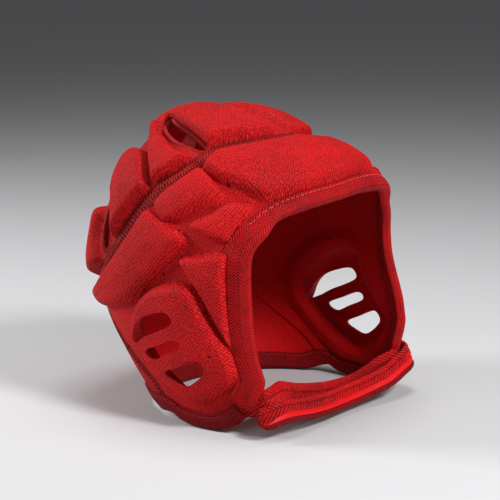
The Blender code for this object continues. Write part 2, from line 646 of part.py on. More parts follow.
def band(name, width, thick, rows, mat):
    """A strap along a centre line, with its width leaning back by an angle."""
    path = smooth_path(rows, 3)
    centre, lean = path[:, :3], np.radians(path[:, 3])
    along = np.gradient(centre, axis=0)
    along /= np.linalg.norm(along, axis=1, keepdims=True)
    level_out = np.cross(along, (0, 0, 1.0))
    level_out /= np.linalg.norm(level_out, axis=1, keepdims=True)
    wide = np.cos(lean)[:, None] * np.cross(level_out, along) - np.sin(lean)[:, None] * level_out
    flat = np.cross(along, wide)
    corners = [(0.5, 0.3), (0.5, -0.3), (0.38, -0.5), (-0.38, -0.5), (-0.5, -0.3), (-0.5, 0.3),
               (-0.38, 0.5), (0.38, 0.5)]
    sections = np.stack([centre + wide * width * w + flat * thick * t for w, t in corners], 1)
    points, faces = loft(sections)
    fan = np.array([(0, k + 1, k) for k in range(1, len(corners) - 1)])
    far = fan[:, ::-1] + len(points) - len(corners)
    return solid(name, points, np.concatenate([faces, fan, far]), mat)


def webbing(name, angles, levels, depths, sign, mat):
    """A flat piece of webbing that follows the shell from inside."""
    across, down = WEBBING_GRID
    places, faces = grid(sign * np.linspace(*angles, across), np.linspace(*levels, down))
    points, faces = thicken(skin(places, depths[1]), skin(places, depths[0]), faces)
    return solid(name, points, faces, mat)


def mirrored(rows):
    """Rows from the wearer's right over the front to the left, given for one side."""
    return [(-x, y) for x, y in rows[:0:-1]] + list(rows)


def main():
    clear_scene()
    knit = material("front_knit", CLOTH_RED, 0.75)
    tape = material("tape", TAPE_RED, 0.8)
    front_shell(knit)
    crown_shell(material("crown_knit", CLOTH_RED, 0.75))
    edge_tape("face_tape", mirrored(FREE_EDGE[:CHEEK_CORNER + 1]), tape_width, BROW_TAPE, tape)
    back = FREE_EDGE[HEM_FRONT:]
    rows = [(x, y) for x, y in back] + [(360 - x, y) for x, y in back[-2::-1]]
    edge_tape("hem_tape", rows, lambda angle: HEM_TAPE + 0 * angle, HEM_TAPE,
              material("hem_band", TAPE_RED, 0.8), flat=True)
    band("chin_strap_inner", *INNER_STRAP, material("strap", TAPE_RED, 0.7))
    band("chin_strap_outer", *OUTER_STRAP, material("satin", SATIN_RED, 0.4))
    for side, sign in (("right", -1), ("left", 1)):
        webbing("crown_tab_" + side, *CROWN_TAB, WEBBING, sign, material("tab_" + side, TAPE_RED, 0.7))
        webbing("rear_strap_" + side, *REAR_STRAP, WEBBING, sign, material("rear_" + side, TAPE_RED, 0.7))


main()
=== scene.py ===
# %% [markdown]
# # A soft shell helmet
# A padded head guard for contact sport: foam pads under red knitted cloth, taped edges,
# ear guards with slots, air gaps beside the crown and behind, and a wrapped chin strap.
# The frame holds its solids at their real size. This script dresses them: each soft solid
# gets a piece with the real one's surface, in the same place, and a finish of its own.

import bpy
import mathutils
import numpy as np
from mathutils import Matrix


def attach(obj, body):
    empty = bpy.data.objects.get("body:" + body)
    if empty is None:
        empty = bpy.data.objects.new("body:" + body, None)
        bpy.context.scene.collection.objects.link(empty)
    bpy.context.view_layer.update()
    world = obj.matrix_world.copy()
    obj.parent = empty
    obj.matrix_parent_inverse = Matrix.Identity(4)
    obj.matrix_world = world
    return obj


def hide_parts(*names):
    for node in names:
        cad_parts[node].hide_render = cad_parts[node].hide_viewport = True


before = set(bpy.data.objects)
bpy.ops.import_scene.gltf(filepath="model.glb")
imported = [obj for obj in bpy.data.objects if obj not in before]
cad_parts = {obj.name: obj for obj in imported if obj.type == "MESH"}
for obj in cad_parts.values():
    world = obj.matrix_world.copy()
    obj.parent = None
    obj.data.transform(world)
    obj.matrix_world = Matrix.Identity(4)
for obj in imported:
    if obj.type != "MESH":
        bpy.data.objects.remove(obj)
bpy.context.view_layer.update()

scene = bpy.context.scene
print("nodes:", sorted(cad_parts))

# %% [markdown]
# ## The camera
# The real helmet was photographed from the front and its right side, a little above its
# middle. The camera comes first, so that every later piece is judged from there. A camera
# looks along its own -Z axis, so its place and two of its axes, to the right and to the
# back, say all of it. It stands about 1 m away, and its long lens keeps the form unstretched.

# %% Camera
CAMERA_PLACE = (-0.7655, -0.6742, 0.2849)
CAMERA_RIGHT = (0.6561, -0.7547, 0.0)
CAMERA_BACK = (-0.7419, -0.6449, 0.1836)
LENS_MM = 115.2
SENSOR_MM = 36.0


def make_camera():
    """A camera from its place and two of its directions; the third is their cross product."""
    right, back = np.array(CAMERA_RIGHT), np.array(CAMERA_BACK)
    back = back / np.linalg.norm(back)
    right = right - back * (right @ back)
    right = right / np.linalg.norm(right)
    turn = np.eye(4)
    turn[:3] = np.stack([right, np.cross(back, right), back, CAMERA_PLACE], 1)
    data = bpy.data.cameras.new("camera")
    data.lens = LENS_MM
    data.sensor_width = SENSOR_MM
    item = bpy.data.objects.new("camera", data)
    item.matrix_world = mathutils.Matrix(turn.tolist())
    scene.collection.objects.link(item)
    return item


scene.camera = make_camera()
print("camera at", CAMERA_PLACE)

# %% [markdown]
# ## The form of the shell
# A head guard is cut so that flat foam closes round a head. Its middle surface is one rounded
# form, so it can be given by a few level sections, each a soft-cornered oval. Catmull-Rom
# curves join the rows of the table, and every piece below lies on this one form.

# %% Level sections
MM = 0.001
MIDDLE_Y = 29.8
# Columns: height, half width, front end, back end, squareness in front, squareness behind.
LEVELS = np.array([
    (183.0, 0.0, 42.0, 42.0, 2.00, 2.00),
    (180.2, 24.0, 18.0, 63.0, 2.00, 2.00),
    (171.8, 44.0, -3.0, 79.0, 2.00, 2.05),
    (159.5, 60.0, -23.0, 92.0, 2.00, 2.10),
    (143.5, 72.0, -46.0, 104.0, 2.25, 2.15),
    (120.5, 79.5, -64.0, 114.0, 2.60, 2.25),
    (96.0, 82.0, -70.0, 119.0, 2.60, 2.30),
    (71.0, 82.0, -73.0, 118.0, 2.60, 2.30),
    (47.0, 81.0, -76.0, 106.0, 2.60, 2.30),
    (23.0, 79.5, -77.0, 90.0, 2.60, 2.20),
    (0.0, 77.0, -77.0, 71.0, 2.60, 2.10),
    (-23.0, 74.0, -77.0, 52.0, 2.60, 2.10),
])
# A place's level is the number of its row over ten: 0 at the top and 1 a little below the hem.
ROWS_PER_LEVEL = 10
LAST_LEVEL = 1.1
CROWN_CENTRE = np.array([0.0, 38.0, 85.0])
RAY_REACH = (20.0, 180.0)
HALVINGS = 26


def ease(x):
    """3x^2 - 2x^3 between 0 and 1: a smooth step."""
    x = np.clip(x, 0.0, 1.0)
    return x * x * (3.0 - 2.0 * x)


def spline(a, b, c, d, f):
    """The Catmull-Rom curve from b to c, with a before and d after, at the share f."""
    return 0.5 * (2 * b + (c - a) * f + (2 * a - 5 * b + 4 * c - d) * f**2
                  + (3 * b - a - 3 * c + d) * f**3)


def column(level, index, even=False):
    """One column of LEVELS at any level, along a spline through its rows."""
    rows = LEVELS[:, index]
    first = rows[1] if even else 2 * rows[0] - rows[1]
    padded = np.concatenate([[first], rows, [2 * rows[-1] - rows[-2]]])
    place = np.clip(np.asarray(level, float), 0.0, LAST_LEVEL) * ROWS_PER_LEVEL
    i = np.minimum(place.astype(int), len(rows) - 2)
    return spline(padded[i], padded[i + 1], padded[i + 2], padded[i + 3], place - i)


def section(level):
    """Half width, middle, half length and the two squareness values of a level."""
    half, front, back, square_front, square_back = [column(level, k) for k in range(1, 6)]
    return half, (front + back) / 2, (back - front) / 2, square_front, square_back


def shell_point(angle, level):
    """A point at an angle from the front: the oval |x/a|^p + |y/b|^p = 1 of its level."""
    angle, level = np.broadcast_arrays(np.radians(np.asarray(angle, float)), np.asarray(level, float))
    half, middle, length, square_front, square_back = section(level)
    side, back = np.sin(angle), -np.cos(angle)
    power = square_back + (square_front - square_back) * ease(-back)
    reach = (np.abs(side)**power + np.abs(back)**power)**(-1 / power)
    return np.stack([half * reach * side, middle + length * reach * back, column(level, 0, True)], -1)


# A fine table of heights, from which a point's level is read back.
LEVEL_STEPS = np.linspace(0.0, LAST_LEVEL, 881)
LEVEL_HEIGHTS = column(LEVEL_STEPS, 0, True)


def place_of(point):
    """A point's angle and level, and its value in the oval's formula: under 1 is inside."""
    level = np.interp(point[..., 2], LEVEL_HEIGHTS[::-1], LEVEL_STEPS[::-1])
    half, middle, length, square_front, square_back = section(level)
    side = point[..., 0] / np.maximum(half, 1e-6)
    back = (point[..., 1] - middle) / np.maximum(length, 1e-6)
    angle = np.arctan2(side, -back)
    power = square_back + (square_front - square_back) * ease(np.cos(angle))
    return np.degrees(angle), level, np.abs(side)**power + np.abs(back)**power


def crown_point(along, across):
    """Where a ray from the crown's centre meets the form, found by halving steps."""
    along, across = np.broadcast_arrays(np.radians(along), np.radians(across))
    ray = np.stack([np.sin(across), np.cos(across) * np.sin(along), np.cos(across) * np.cos(along)], -1)
    near, far = (np.full(along.shape, reach) for reach in RAY_REACH)
    for _ in range(HALVINGS):
        half_way = (near + far) / 2
        inside = place_of(CROWN_CENTRE + ray * half_way[..., None])[2] < 1
        near, far = np.where(inside, half_way, near), np.where(inside, far, half_way)
    return CROWN_CENTRE + ray * near[..., None]


print("widest level:", LEVELS[:, 1].max() * 2, "mm")

# %% [markdown]
# The soft helmet was set down a little crooked: its brow stands about 10 mm higher at the
# wearer's left, its crown lower, the left cheek swings out, and the nape's right side is
# lifted. One last step moves every point in this way by smooth shares of its place, sets the
# middle of the box over the origin, then brings millimetres to metres.

# %% Standing place
# The brow leans most at its height, and less over the reach below it and above it.
BROW_LEAN = 0.09
BROW_HEIGHT = 140.0
BROW_REACH = 32.0
BROW_ABOVE = 0.64
BROW_BACK = 5.0
BROW_FADE = 40.0
# The crown leans the other way, from its height up.
CROWN_LEAN = 0.07
CROWN_FROM = 158.0
CROWN_FADE = 20.0
# The left cheek swings along this direction. Each pair is where a share starts, and its fade.
SWING_WAY = (0.66, -0.75)
SWING_SIDE = (15.0, 35.0)
SWING_FRONT = (15.0, 25.0)
# Columns: amount, lowest height and its fade, highest height and its fade.
SWINGS = [(5.0, 122.0, 12.0, 150.0, 9.0), (5.5, 29.0, 20.0, 96.0, 38.0)]
NAPE_LIFT = 4.0
NAPE_SIDE = (20.0, 30.0)
NAPE_BACK = (15.0, 25.0)
NAPE_HEIGHT = 40.0


def stand(points):
    """Each lean is an amount times eased shares of x, y and z; their sum moves the point."""
    x, y, z = np.moveaxis(np.asarray(points, float), -1, 0)
    below = np.maximum(BROW_HEIGHT - z, (z - BROW_HEIGHT) * BROW_ABOVE)
    brow = BROW_LEAN * x * ease(1 - below / BROW_REACH) * ease((BROW_BACK - y) / BROW_FADE)
    crown = CROWN_LEAN * x * ease((z - CROWN_FROM) / CROWN_FADE)
    nape = NAPE_LIFT * ease((-x - NAPE_SIDE[0]) / NAPE_SIDE[1]) * ease((y - NAPE_BACK[0]) / NAPE_BACK[1])
    swing = 0.0
    for amount, low, low_fade, high, high_fade in SWINGS:
        swing = swing + amount * ease((z - low) / low_fade) * ease((high - z) / high_fade)
    swing = swing * ease((x - SWING_SIDE[0]) / SWING_SIDE[1])
    swing = swing * ease((-y - SWING_FRONT[0]) / SWING_FRONT[1])
    up = z + brow - crown + nape * ease(1 - z / NAPE_HEIGHT)
    return np.stack([x + SWING_WAY[0] * swing, y + SWING_WAY[1] * swing - MIDDLE_Y, up], -1) * MM


print("brow lean at 60 mm aside:", BROW_LEAN * 60, "mm")

# %% [markdown]
# ## Outlines on the cloth
# A pattern cutter draws pads and edges on flat cloth. Here the flat cloth is a chart: the
# angle from the front across it, the level down it. An outline is a short table of places
# with a smooth curve through them, and the signed distance to it drives bevels and cuts.

# %% Outline helpers
DEGREE = 1.45
LEVEL = 245.0


def smooth_ring(rows, steps=6):
    """A closed Catmull-Rom curve through rows."""
    rows = np.array(rows, float)
    f = np.linspace(0, 1, steps, endpoint=False)[:, None]
    a, b, c, d = (np.roll(rows, s, 0)[:, None] for s in (1, 0, -1, -2))
    return spline(a, b, c, d, f).reshape(-1, rows.shape[1])


def smooth_path(rows, steps=6):
    """An open Catmull-Rom curve through rows."""
    rows = np.array(rows, float)
    padded = np.concatenate([[2 * rows[0] - rows[1]], rows, [2 * rows[-1] - rows[-2]]])
    f = np.linspace(0, 1, steps, endpoint=False)[:, None]
    a, b, c, d = (padded[s:len(rows) - 1 + s, None] for s in range(4))
    return np.concatenate([spline(a, b, c, d, f).reshape(-1, rows.shape[1]), rows[-1:]])


def depth_inside(points, ring):
    """Distance of points from a closed outline: above 0 inside, by the even-odd rule."""
    distance = np.full(len(points), 1e9)
    crossings = np.zeros(len(points), int)
    for start, end in zip(ring, np.roll(ring, -1, 0)):
        edge = end - start
        offset = points - start
        share = np.clip(offset @ edge / max(edge @ edge, 1e-9), 0, 1)
        distance = np.minimum(distance, np.sum((offset - share[:, None] * edge)**2, 1))
        if abs(edge[1]) > 1e-9:
            rises = (start[1] <= points[:, 1]) != (end[1] <= points[:, 1])
            crossings += rises & (points[:, 0] < start[0] + offset[:, 1] / edge[1] * edge[0])
    return np.sqrt(distance) * np.where(crossings % 2 == 1, 1, -1)


def mm_ring(rows, steps=6):
    """An outline of places as lengths on the chart."""
    return smooth_ring(rows, steps) * (DEGREE, LEVEL)


print("one degree is", DEGREE, "mm and one tenth of a level", LEVEL / 10, "mm on the chart")

# %% [markdown]
# Two cloth shells meet at a seam that runs from the top of the forehead back to a corner
# behind each ear guard, and down to the hem. The free edge is the face opening and the hem.

# %% Seam and free edge
SEAM = [
    (0, 0.243), (18, 0.256), (33, 0.268), (49, 0.283), (60, 0.303), (72, 0.352),
    (80, 0.387), (88, 0.419), (98, 0.481), (108, 0.563), (115, 0.612), (124, 0.662),
    (133, 0.700), (130, 0.755), (118.5, 0.826), (107.5, 0.891), (102.5, 0.943),
    (101, 0.990), (100, 1.080),
]
FREE_EDGE = [
    (0, 0.428), (19, 0.430), (36.5, 0.447), (44.5, 0.491), (50.5, 0.541),
    (52, 0.596), (52.5, 0.677), (53, 0.737), (53, 0.802), (52, 0.840), (52, 0.866),
    (56, 0.910), (61, 0.947), (67, 0.972), (77, 0.9915), (90, 0.9915), (97, 0.985),
    (101.5, 0.972), (107, 0.976), (116, 0.9900), (130, 0.9915), (150, 0.9915), (180, 0.9915),
]
# Rows of the free edge where the brow ends and where the hem starts.
BROW_CORNER = 3
HEM_FRONT = 12
# The regions close well past the front, the back and the hem, where no cloth is.
PAST_FRONT = -60
PAST_BACK = 240
PAST_HEM = 1.3
FRONT_REGION = np.concatenate([smooth_path([(-x, y) for x, y in SEAM[3:0:-1]] + SEAM),
                               [(PAST_FRONT, SEAM[-1][1])]]) * (DEGREE, LEVEL)
VOID_REGION = np.concatenate([[(PAST_FRONT, FREE_EDGE[0][1])], smooth_path(FREE_EDGE),
                              [(PAST_BACK, FREE_EDGE[-1][1]), (PAST_BACK, PAST_HEM),
                               (PAST_FRONT, PAST_HEM)]]) * (DEGREE, LEVEL)
print("seam from", SEAM[0], "to", SEAM[-1])

# %% [markdown]
# ## Grids that carry their cloth
# A shell starts as a fine grid. Each grid point is a row that carries its place in space,
# its outward direction, its place on the chart and its place in the weave, so whatever is
# done to the grid later, the cloth's pattern goes with it.

# %% Grid rows
BASE, OUT, CHART, WEAVE = slice(0, 3), slice(3, 6), slice(6, 8), slice(8, 10)


def surface_rows(points, chart, weave):
    """Rows of a structured grid: outward directions are cross products of its differences."""
    normal = np.cross(np.gradient(points, axis=0), np.gradient(points, axis=1))
    normal /= np.maximum(np.linalg.norm(normal, axis=-1, keepdims=True), 1e-9)
    normal *= np.sign(np.sum(normal * (points - CROWN_CENTRE), -1, keepdims=True))
    rows = np.concatenate([points, normal, chart, weave], -1)
    count, across = rows.shape[:2]
    i, j = np.meshgrid(np.arange(count - 1), np.arange(across - 1), indexing="ij")
    a = (i * across + j).reshape(-1)
    b, c, d = a + across, a + across + 1, a + 1
    faces = np.concatenate([np.stack([a, b, c], -1), np.stack([a, c, d], -1)])
    return rows.reshape(-1, rows.shape[-1]), faces


print("a row has", WEAVE.stop, "values: place, direction, chart and weave")

# %% [markdown]
# Scissors follow a drawn line, not the threads. So each outline gives every row a signed
# distance, and the triangles that it crosses are cut where that distance is 0: one corner
# off leaves a square, two corners off leave a triangle. A new row is a blend of its two
# neighbours in the ratio of their distances, in all its values at once.

# %% Cutting along an outline
TOUCH = 0.05


def trim(rows, faces, value):
    """Keep the side where value is above 0; a value within TOUCH of 0 lies on the cut."""
    value = np.where(np.abs(value) < TOUCH, 0.0, value)
    sign = np.sign(value).astype(int)
    corner = sign[faces]
    whole = (corner.min(1) >= 0) & (corner.max(1) > 0)
    cut = faces[(corner.min(1) < 0) & (corner.max(1) > 0)]
    two_off = (sign[cut] < 0).sum(1) == 2
    first = np.where(two_off, np.argmax(sign[cut] > 0, axis=1), np.argmax(sign[cut] < 0, axis=1))
    each = np.arange(len(cut))
    a, b, c = (cut[each, (first + k) % 3] for k in range(3))
    pairs = np.sort(np.concatenate([np.stack([a, b], -1), np.stack([a, c], -1)]), 1)
    keys, slot = np.unique(pairs, axis=0, return_inverse=True)
    low, high = value[keys[:, 0]], value[keys[:, 1]]
    crossing = low * high < 0
    share = np.where(crossing, low / np.where(crossing, low - high, 1), 0)[:, None]
    fresh = rows[keys[:, 0]] * (1 - share) + rows[keys[:, 1]] * share
    slot = len(rows) + slot.reshape(-1)
    on_b = np.where(sign[b] == 0, b, slot[:len(cut)])
    on_c = np.where(sign[c] == 0, c, slot[len(cut):])
    zero_b, zero_c = sign[b] == 0, sign[c] == 0
    one_off = ~two_off
    square = one_off & ~zero_b & ~zero_c
    faces = np.concatenate([
        faces[whole], np.stack([a, on_b, on_c], -1)[two_off],
        np.stack([on_b, b, c], -1)[square], np.stack([on_b, c, on_c], -1)[square],
        np.stack([b, c, on_c], -1)[one_off & zero_b & ~zero_c],
        np.stack([on_b, b, c], -1)[one_off & zero_c & ~zero_b]])
    rows = np.concatenate([rows, fresh])
    used, faces = np.unique(faces, return_inverse=True)
    return rows[used], faces.reshape(-1, 3)


print("rows this near to a cut count as on it:", TOUCH, "mm")

# %% [markdown]
# Foam between two cloths has an outside, an inside and an edge. So two skins with the same
# faces, one out and one in, are closed by a wall round every rim. Each face keeps a number
# for its kind, which then picks its cloth.

# %% Closing the skins
SHARP_DEGREES = 60


def thicken(outer, inner, faces):
    """Two skins with the same faces, closed by a wall round each rim; also each face's kind."""
    count = len(outer)
    edges = np.concatenate([faces[:, [0, 1]], faces[:, [1, 2]], faces[:, [2, 0]]])
    rim = edges[~np.isin(edges[:, 0] * count + edges[:, 1], edges[:, 1] * count + edges[:, 0])]
    a, b = rim[:, 0], rim[:, 1]
    walls = np.concatenate([np.stack([b, a, a + count], -1), np.stack([b, a + count, b + count], -1)])
    kind = np.repeat([0, 1, 2], [len(faces), len(faces), len(walls)])
    return np.concatenate([outer, inner]), np.concatenate([faces, faces[:, ::-1] + count, walls]), kind


def piece(name, points, faces, weave, materials, kind=None):
    """A mesh piece at the origin from points in metres, turned so that its volume is above 0."""
    faces = np.asarray(faces)
    fan = points[faces]
    if np.sum(fan[:, 0] * np.cross(fan[:, 1], fan[:, 2])) < 0:
        faces = faces[:, ::-1]
    mesh = bpy.data.meshes.new(name)
    size = faces.shape[1]
    mesh.vertices.add(len(points))
    mesh.vertices.foreach_set("co", np.asarray(points, np.float32).reshape(-1))
    mesh.loops.add(faces.size)
    mesh.loops.foreach_set("vertex_index", faces.reshape(-1).astype(np.int32))
    mesh.polygons.add(len(faces))
    mesh.polygons.foreach_set("loop_start", np.arange(0, faces.size, size, dtype=np.int32))
    for material in materials:
        mesh.materials.append(material)
    if kind is not None:
        mesh.polygons.foreach_set("material_index", np.asarray(kind, np.int32))
    mesh.update()
    mesh.shade_smooth()
    mesh.set_sharp_from_angle(angle=np.radians(SHARP_DEGREES))
    layer = mesh.uv_layers.new(name="weave")
    if weave.ndim == 2:
        weave = weave[faces]
    layer.data.foreach_set("uv", np.asarray(weave, np.float32).reshape(-1))
    item = bpy.data.objects.new(name, mesh)
    scene.collection.objects.link(item)
    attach(item, "root")
    print(name, len(faces), "faces")
    return item


print("edges sharper than", SHARP_DEGREES, "degrees stay crisp")

# %% [markdown]
# ## The weave as shared effects
# Three cloths cover the helmet: a dimpled knit, a ribbed tape and a plain lining. Their
# patterns are groups of nodes that read the weave's own coordinates in metres, so one
# group serves every piece that uses the cloth. A group puts out heights and masks only.
# A few helpers keep each group short enough to read.

# %% Node helpers


def group(name, inputs, outputs):
    """An empty node group with named float or vector inputs and float outputs."""
    tree = bpy.data.node_groups.new(name, "ShaderNodeTree")
    for label, kind, value in inputs:
        socket = tree.interface.new_socket(label, in_out="INPUT", socket_type="NodeSocket" + kind)
        if value is not None:
            socket.default_value = value
    for label in outputs:
        tree.interface.new_socket(label, in_out="OUTPUT", socket_type="NodeSocketFloat")
    return tree, tree.nodes.new("NodeGroupInput"), tree.nodes.new("NodeGroupOutput")


def connect(tree, value, socket):
    """A link where value is another node's socket, and a plain value where it isn't."""
    if isinstance(value, bpy.types.NodeSocket):
        tree.links.new(value, socket)
    else:
        socket.default_value = value


def add(tree, kind, inputs=None, **settings):
    """A node with settings; each input is a value or another node's socket."""
    item = tree.nodes.new("ShaderNode" + kind)
    for key, value in settings.items():
        setattr(item, key, value)
    for key, value in (inputs or {}).items():
        connect(tree, value, item.inputs[key])
    return item


def maths(tree, operation, first, second=0.0, third=0.0):
    """One arithmetic step on values or sockets."""
    return add(tree, "Math", {0: first, 1: second, 2: third}, operation=operation).outputs[0]


def ramp(tree, value, low, high, to_low=0.0, to_high=1.0):
    """A smooth step of value from low to high."""
    ends = {"Value": value, "From Min": low, "From Max": high, "To Min": to_low, "To Max": to_high}
    return add(tree, "MapRange", ends, interpolation_type="SMOOTHSTEP").outputs["Result"]


def noise(tree, place, scale, detail=2.0):
    """Soft noise over the weave's two directions, in bumps a metre."""
    return add(tree, "TexNoise", {"Vector": place, "Scale": scale, "Detail": detail},
               noise_dimensions="2D")


def pattern_group(name, inputs=()):
    """A group that reads a weave's place and its repeats a metre and puts out two masks."""
    first = [("Place", "Vector", None), ("Per Metre", "Float", 700.0)]
    return group(name, first + list(inputs), ["Height", "Painted Glint"])


print("a pattern reads a place in metres and puts out a height and a glint")

# %% [markdown]
# The outer knit is a net of small round dimples that lean a little with the pull of the
# cloth. A Voronoi texture on a net turned by 45 degrees puts a soft dome in each cell, slow
# noise sways the net, and fine noise stands for the yarn. The tops of the domes get painted
# glints.

# %% Dimpled knit
SWAY_PER_METRE = 260.0
SWAY = (0.0008, 0.0008, 0.0)
UNEVEN = 0.42
YARN_PER_METRE = 2600.0
YARN_SHARE = 0.45


def knit_group():
    """Height is a smooth step down from each cell's centre plus a share of the yarn noise."""
    tree, start, end = pattern_group("knit_dimples")
    place = start.outputs["Place"]
    turned = add(tree, "VectorRotate", {"Vector": place, "Angle": np.pi / 4}, rotation_type="Z_AXIS")
    sway = noise(tree, place, SWAY_PER_METRE, 1.0).outputs["Color"]
    shifted = add(tree, "VectorMath", {0: sway, 1: SWAY}, operation="MULTIPLY")
    placed = add(tree, "VectorMath", {0: turned.outputs[0], 1: shifted.outputs[0]}, operation="ADD")
    net = add(tree, "TexVoronoi", {"Vector": placed.outputs[0], "Scale": start.outputs["Per Metre"],
                                   "Randomness": UNEVEN}, voronoi_dimensions="2D").outputs["Distance"]
    yarn = noise(tree, place, YARN_PER_METRE).outputs["Fac"]
    height = maths(tree, "MULTIPLY_ADD", yarn, YARN_SHARE, ramp(tree, net, 0.66, 0.12))
    # Painted highlight: a glint mask on the tops of the domes.
    painted_glint_mask = maths(tree, "MULTIPLY", ramp(tree, net, 0.34, 0.06), ramp(tree, yarn, 0.35, 0.65))
    tree.links.new(height, end.inputs["Height"])
    tree.links.new(painted_glint_mask, end.inputs["Painted Glint"])
    return tree


KNIT = knit_group()
print(KNIT.name, len(KNIT.nodes), "nodes")

# %% [markdown]
# Tapes and straps are woven in chevrons: ribs that run aslant and turn back at every
# column. Folding the width to and fro and adding it to the length gives the slant, and
# folding that once more gives the ribs. A low line is left where two columns meet, which the
# cloth paints dark as shade.

# %% Chevron ribs
CHEVRON_SLOPE = 1.1
FUZZ_PER_METRE = 900.0
COLUMN_SEAM = 0.0005


def rib_group():
    """Phase is (x + slope times the folded y) per metre, and the rib is that phase folded."""
    tree, start, end = pattern_group("rib_chevrons", [("Column", "Float", 0.004)])
    split = add(tree, "SeparateXYZ", {0: start.outputs["Place"]})
    zigzag = maths(tree, "PINGPONG", split.outputs["Y"], start.outputs["Column"])
    fuzz = noise(tree, start.outputs["Place"], FUZZ_PER_METRE).outputs["Fac"]
    along = maths(tree, "ADD", split.outputs["X"], maths(tree, "MULTIPLY", zigzag, CHEVRON_SLOPE))
    loose = maths(tree, "MULTIPLY", fuzz, 0.35)
    phase = maths(tree, "MULTIPLY_ADD", along, start.outputs["Per Metre"], loose)
    wave = maths(tree, "PINGPONG", phase, 0.5)
    rib = maths(tree, "MULTIPLY", ramp(tree, wave, 0.06, 0.40), ramp(tree, zigzag, 0.0, COLUMN_SEAM))
    # Painted highlight: a glint mask on the crests of the ribs.
    painted_glint_mask = maths(tree, "MULTIPLY", ramp(tree, wave, 0.36, 0.5), ramp(tree, fuzz, 0.4, 0.6))
    tree.links.new(maths(tree, "MULTIPLY_ADD", fuzz, 0.25, rib), end.inputs["Height"])
    tree.links.new(painted_glint_mask, end.inputs["Painted Glint"])
    return tree


RIBS = rib_group()
print(RIBS.name, len(RIBS.nodes), "nodes")

# %% [markdown]
# The lining and the thread are plain: thin courses one way, faint columns the other. Dye
# and handling leave every cloth a little uneven as well, which is two sizes of noise in the
# object's own space, so it runs on from piece to piece.

# %% Plain courses and mottle
COURSE_FUZZ_PER_METRE = 1500.0
MOTTLE_SIZES = ((22.0, 3.0, 0.65), (190.0, 2.0, 0.35))


def plain_group():
    """Height is folded y and x times the courses a metre, in uneven shares, plus noise."""
    tree, start, end = pattern_group("plain_courses")
    split = add(tree, "SeparateXYZ", {0: start.outputs["Place"]})
    rows, columns = (maths(tree, "PINGPONG", maths(tree, "MULTIPLY", split.outputs[axis],
                                                   start.outputs["Per Metre"]), 0.5) for axis in "YX")
    fuzz = noise(tree, start.outputs["Place"], COURSE_FUZZ_PER_METRE).outputs["Fac"]
    height = maths(tree, "ADD", maths(tree, "MULTIPLY", rows, 1.2), maths(tree, "MULTIPLY", columns, 0.5))
    tree.links.new(maths(tree, "MULTIPLY_ADD", fuzz, 0.6, height), end.inputs["Height"])
    # Painted highlight: a glint mask along the courses.
    tree.links.new(ramp(tree, maths(tree, "ADD", rows, fuzz), 0.7, 1.1), end.inputs["Painted Glint"])
    return tree


def mottle_group():
    """The weighed sum of two sizes of soft noise, drawn apart by a smooth step."""
    tree, start, end = group("dye_mottle", [], ["Shade"])
    place = add(tree, "TexCoord").outputs["Object"]
    wide, fine = (maths(tree, "MULTIPLY", add(tree, "TexNoise", {"Vector": place, "Scale": scale,
                                                                 "Detail": detail}).outputs["Fac"], share)
                  for scale, detail, share in MOTTLE_SIZES)
    tree.links.new(ramp(tree, maths(tree, "ADD", wide, fine), 0.36, 0.64), end.inputs["Shade"])
    return tree


PLAIN, MOTTLE = plain_group(), mottle_group()
print("groups:", [tree.name for tree in bpy.data.node_groups])

# %% [markdown]
# ## Cloth materials
# Every cloth is the same recipe with its own values: a pattern group gives the height for
# the bump and a mask for painted glints, the mottle varies the dye's tone at random, and the
# shader adds a soft sheen for the loose fibres. The colour is painted darker where the
# pattern is low, as shade in the dimples and between the ribs.

# %% Cloth recipe
# The first share is how much the pattern's height moves the colour between dark and lit, which is painted
# shade in its low places; the second is the mottle's random tone.
PAINTED_SHADE_SHARE = 0.6
MOTTLE_SHARE = 0.4
ROUGH_BETWEEN = 0.1
ROUGH_GLINT = -0.12
BUMP_STRENGTH = 0.9
SHEEN_ROUGHNESS = 0.4
SHEEN_TINT = (1.0, 0.12, 0.12, 1.0)


def mix(tree, factor, first, second):
    """A blend of two colours or sockets."""
    item = add(tree, "Mix", {}, data_type="RGBA")
    for index, value in ((0, factor), (6, first), (7, second)):
        connect(tree, value, item.inputs[index])
    return item.outputs[2]


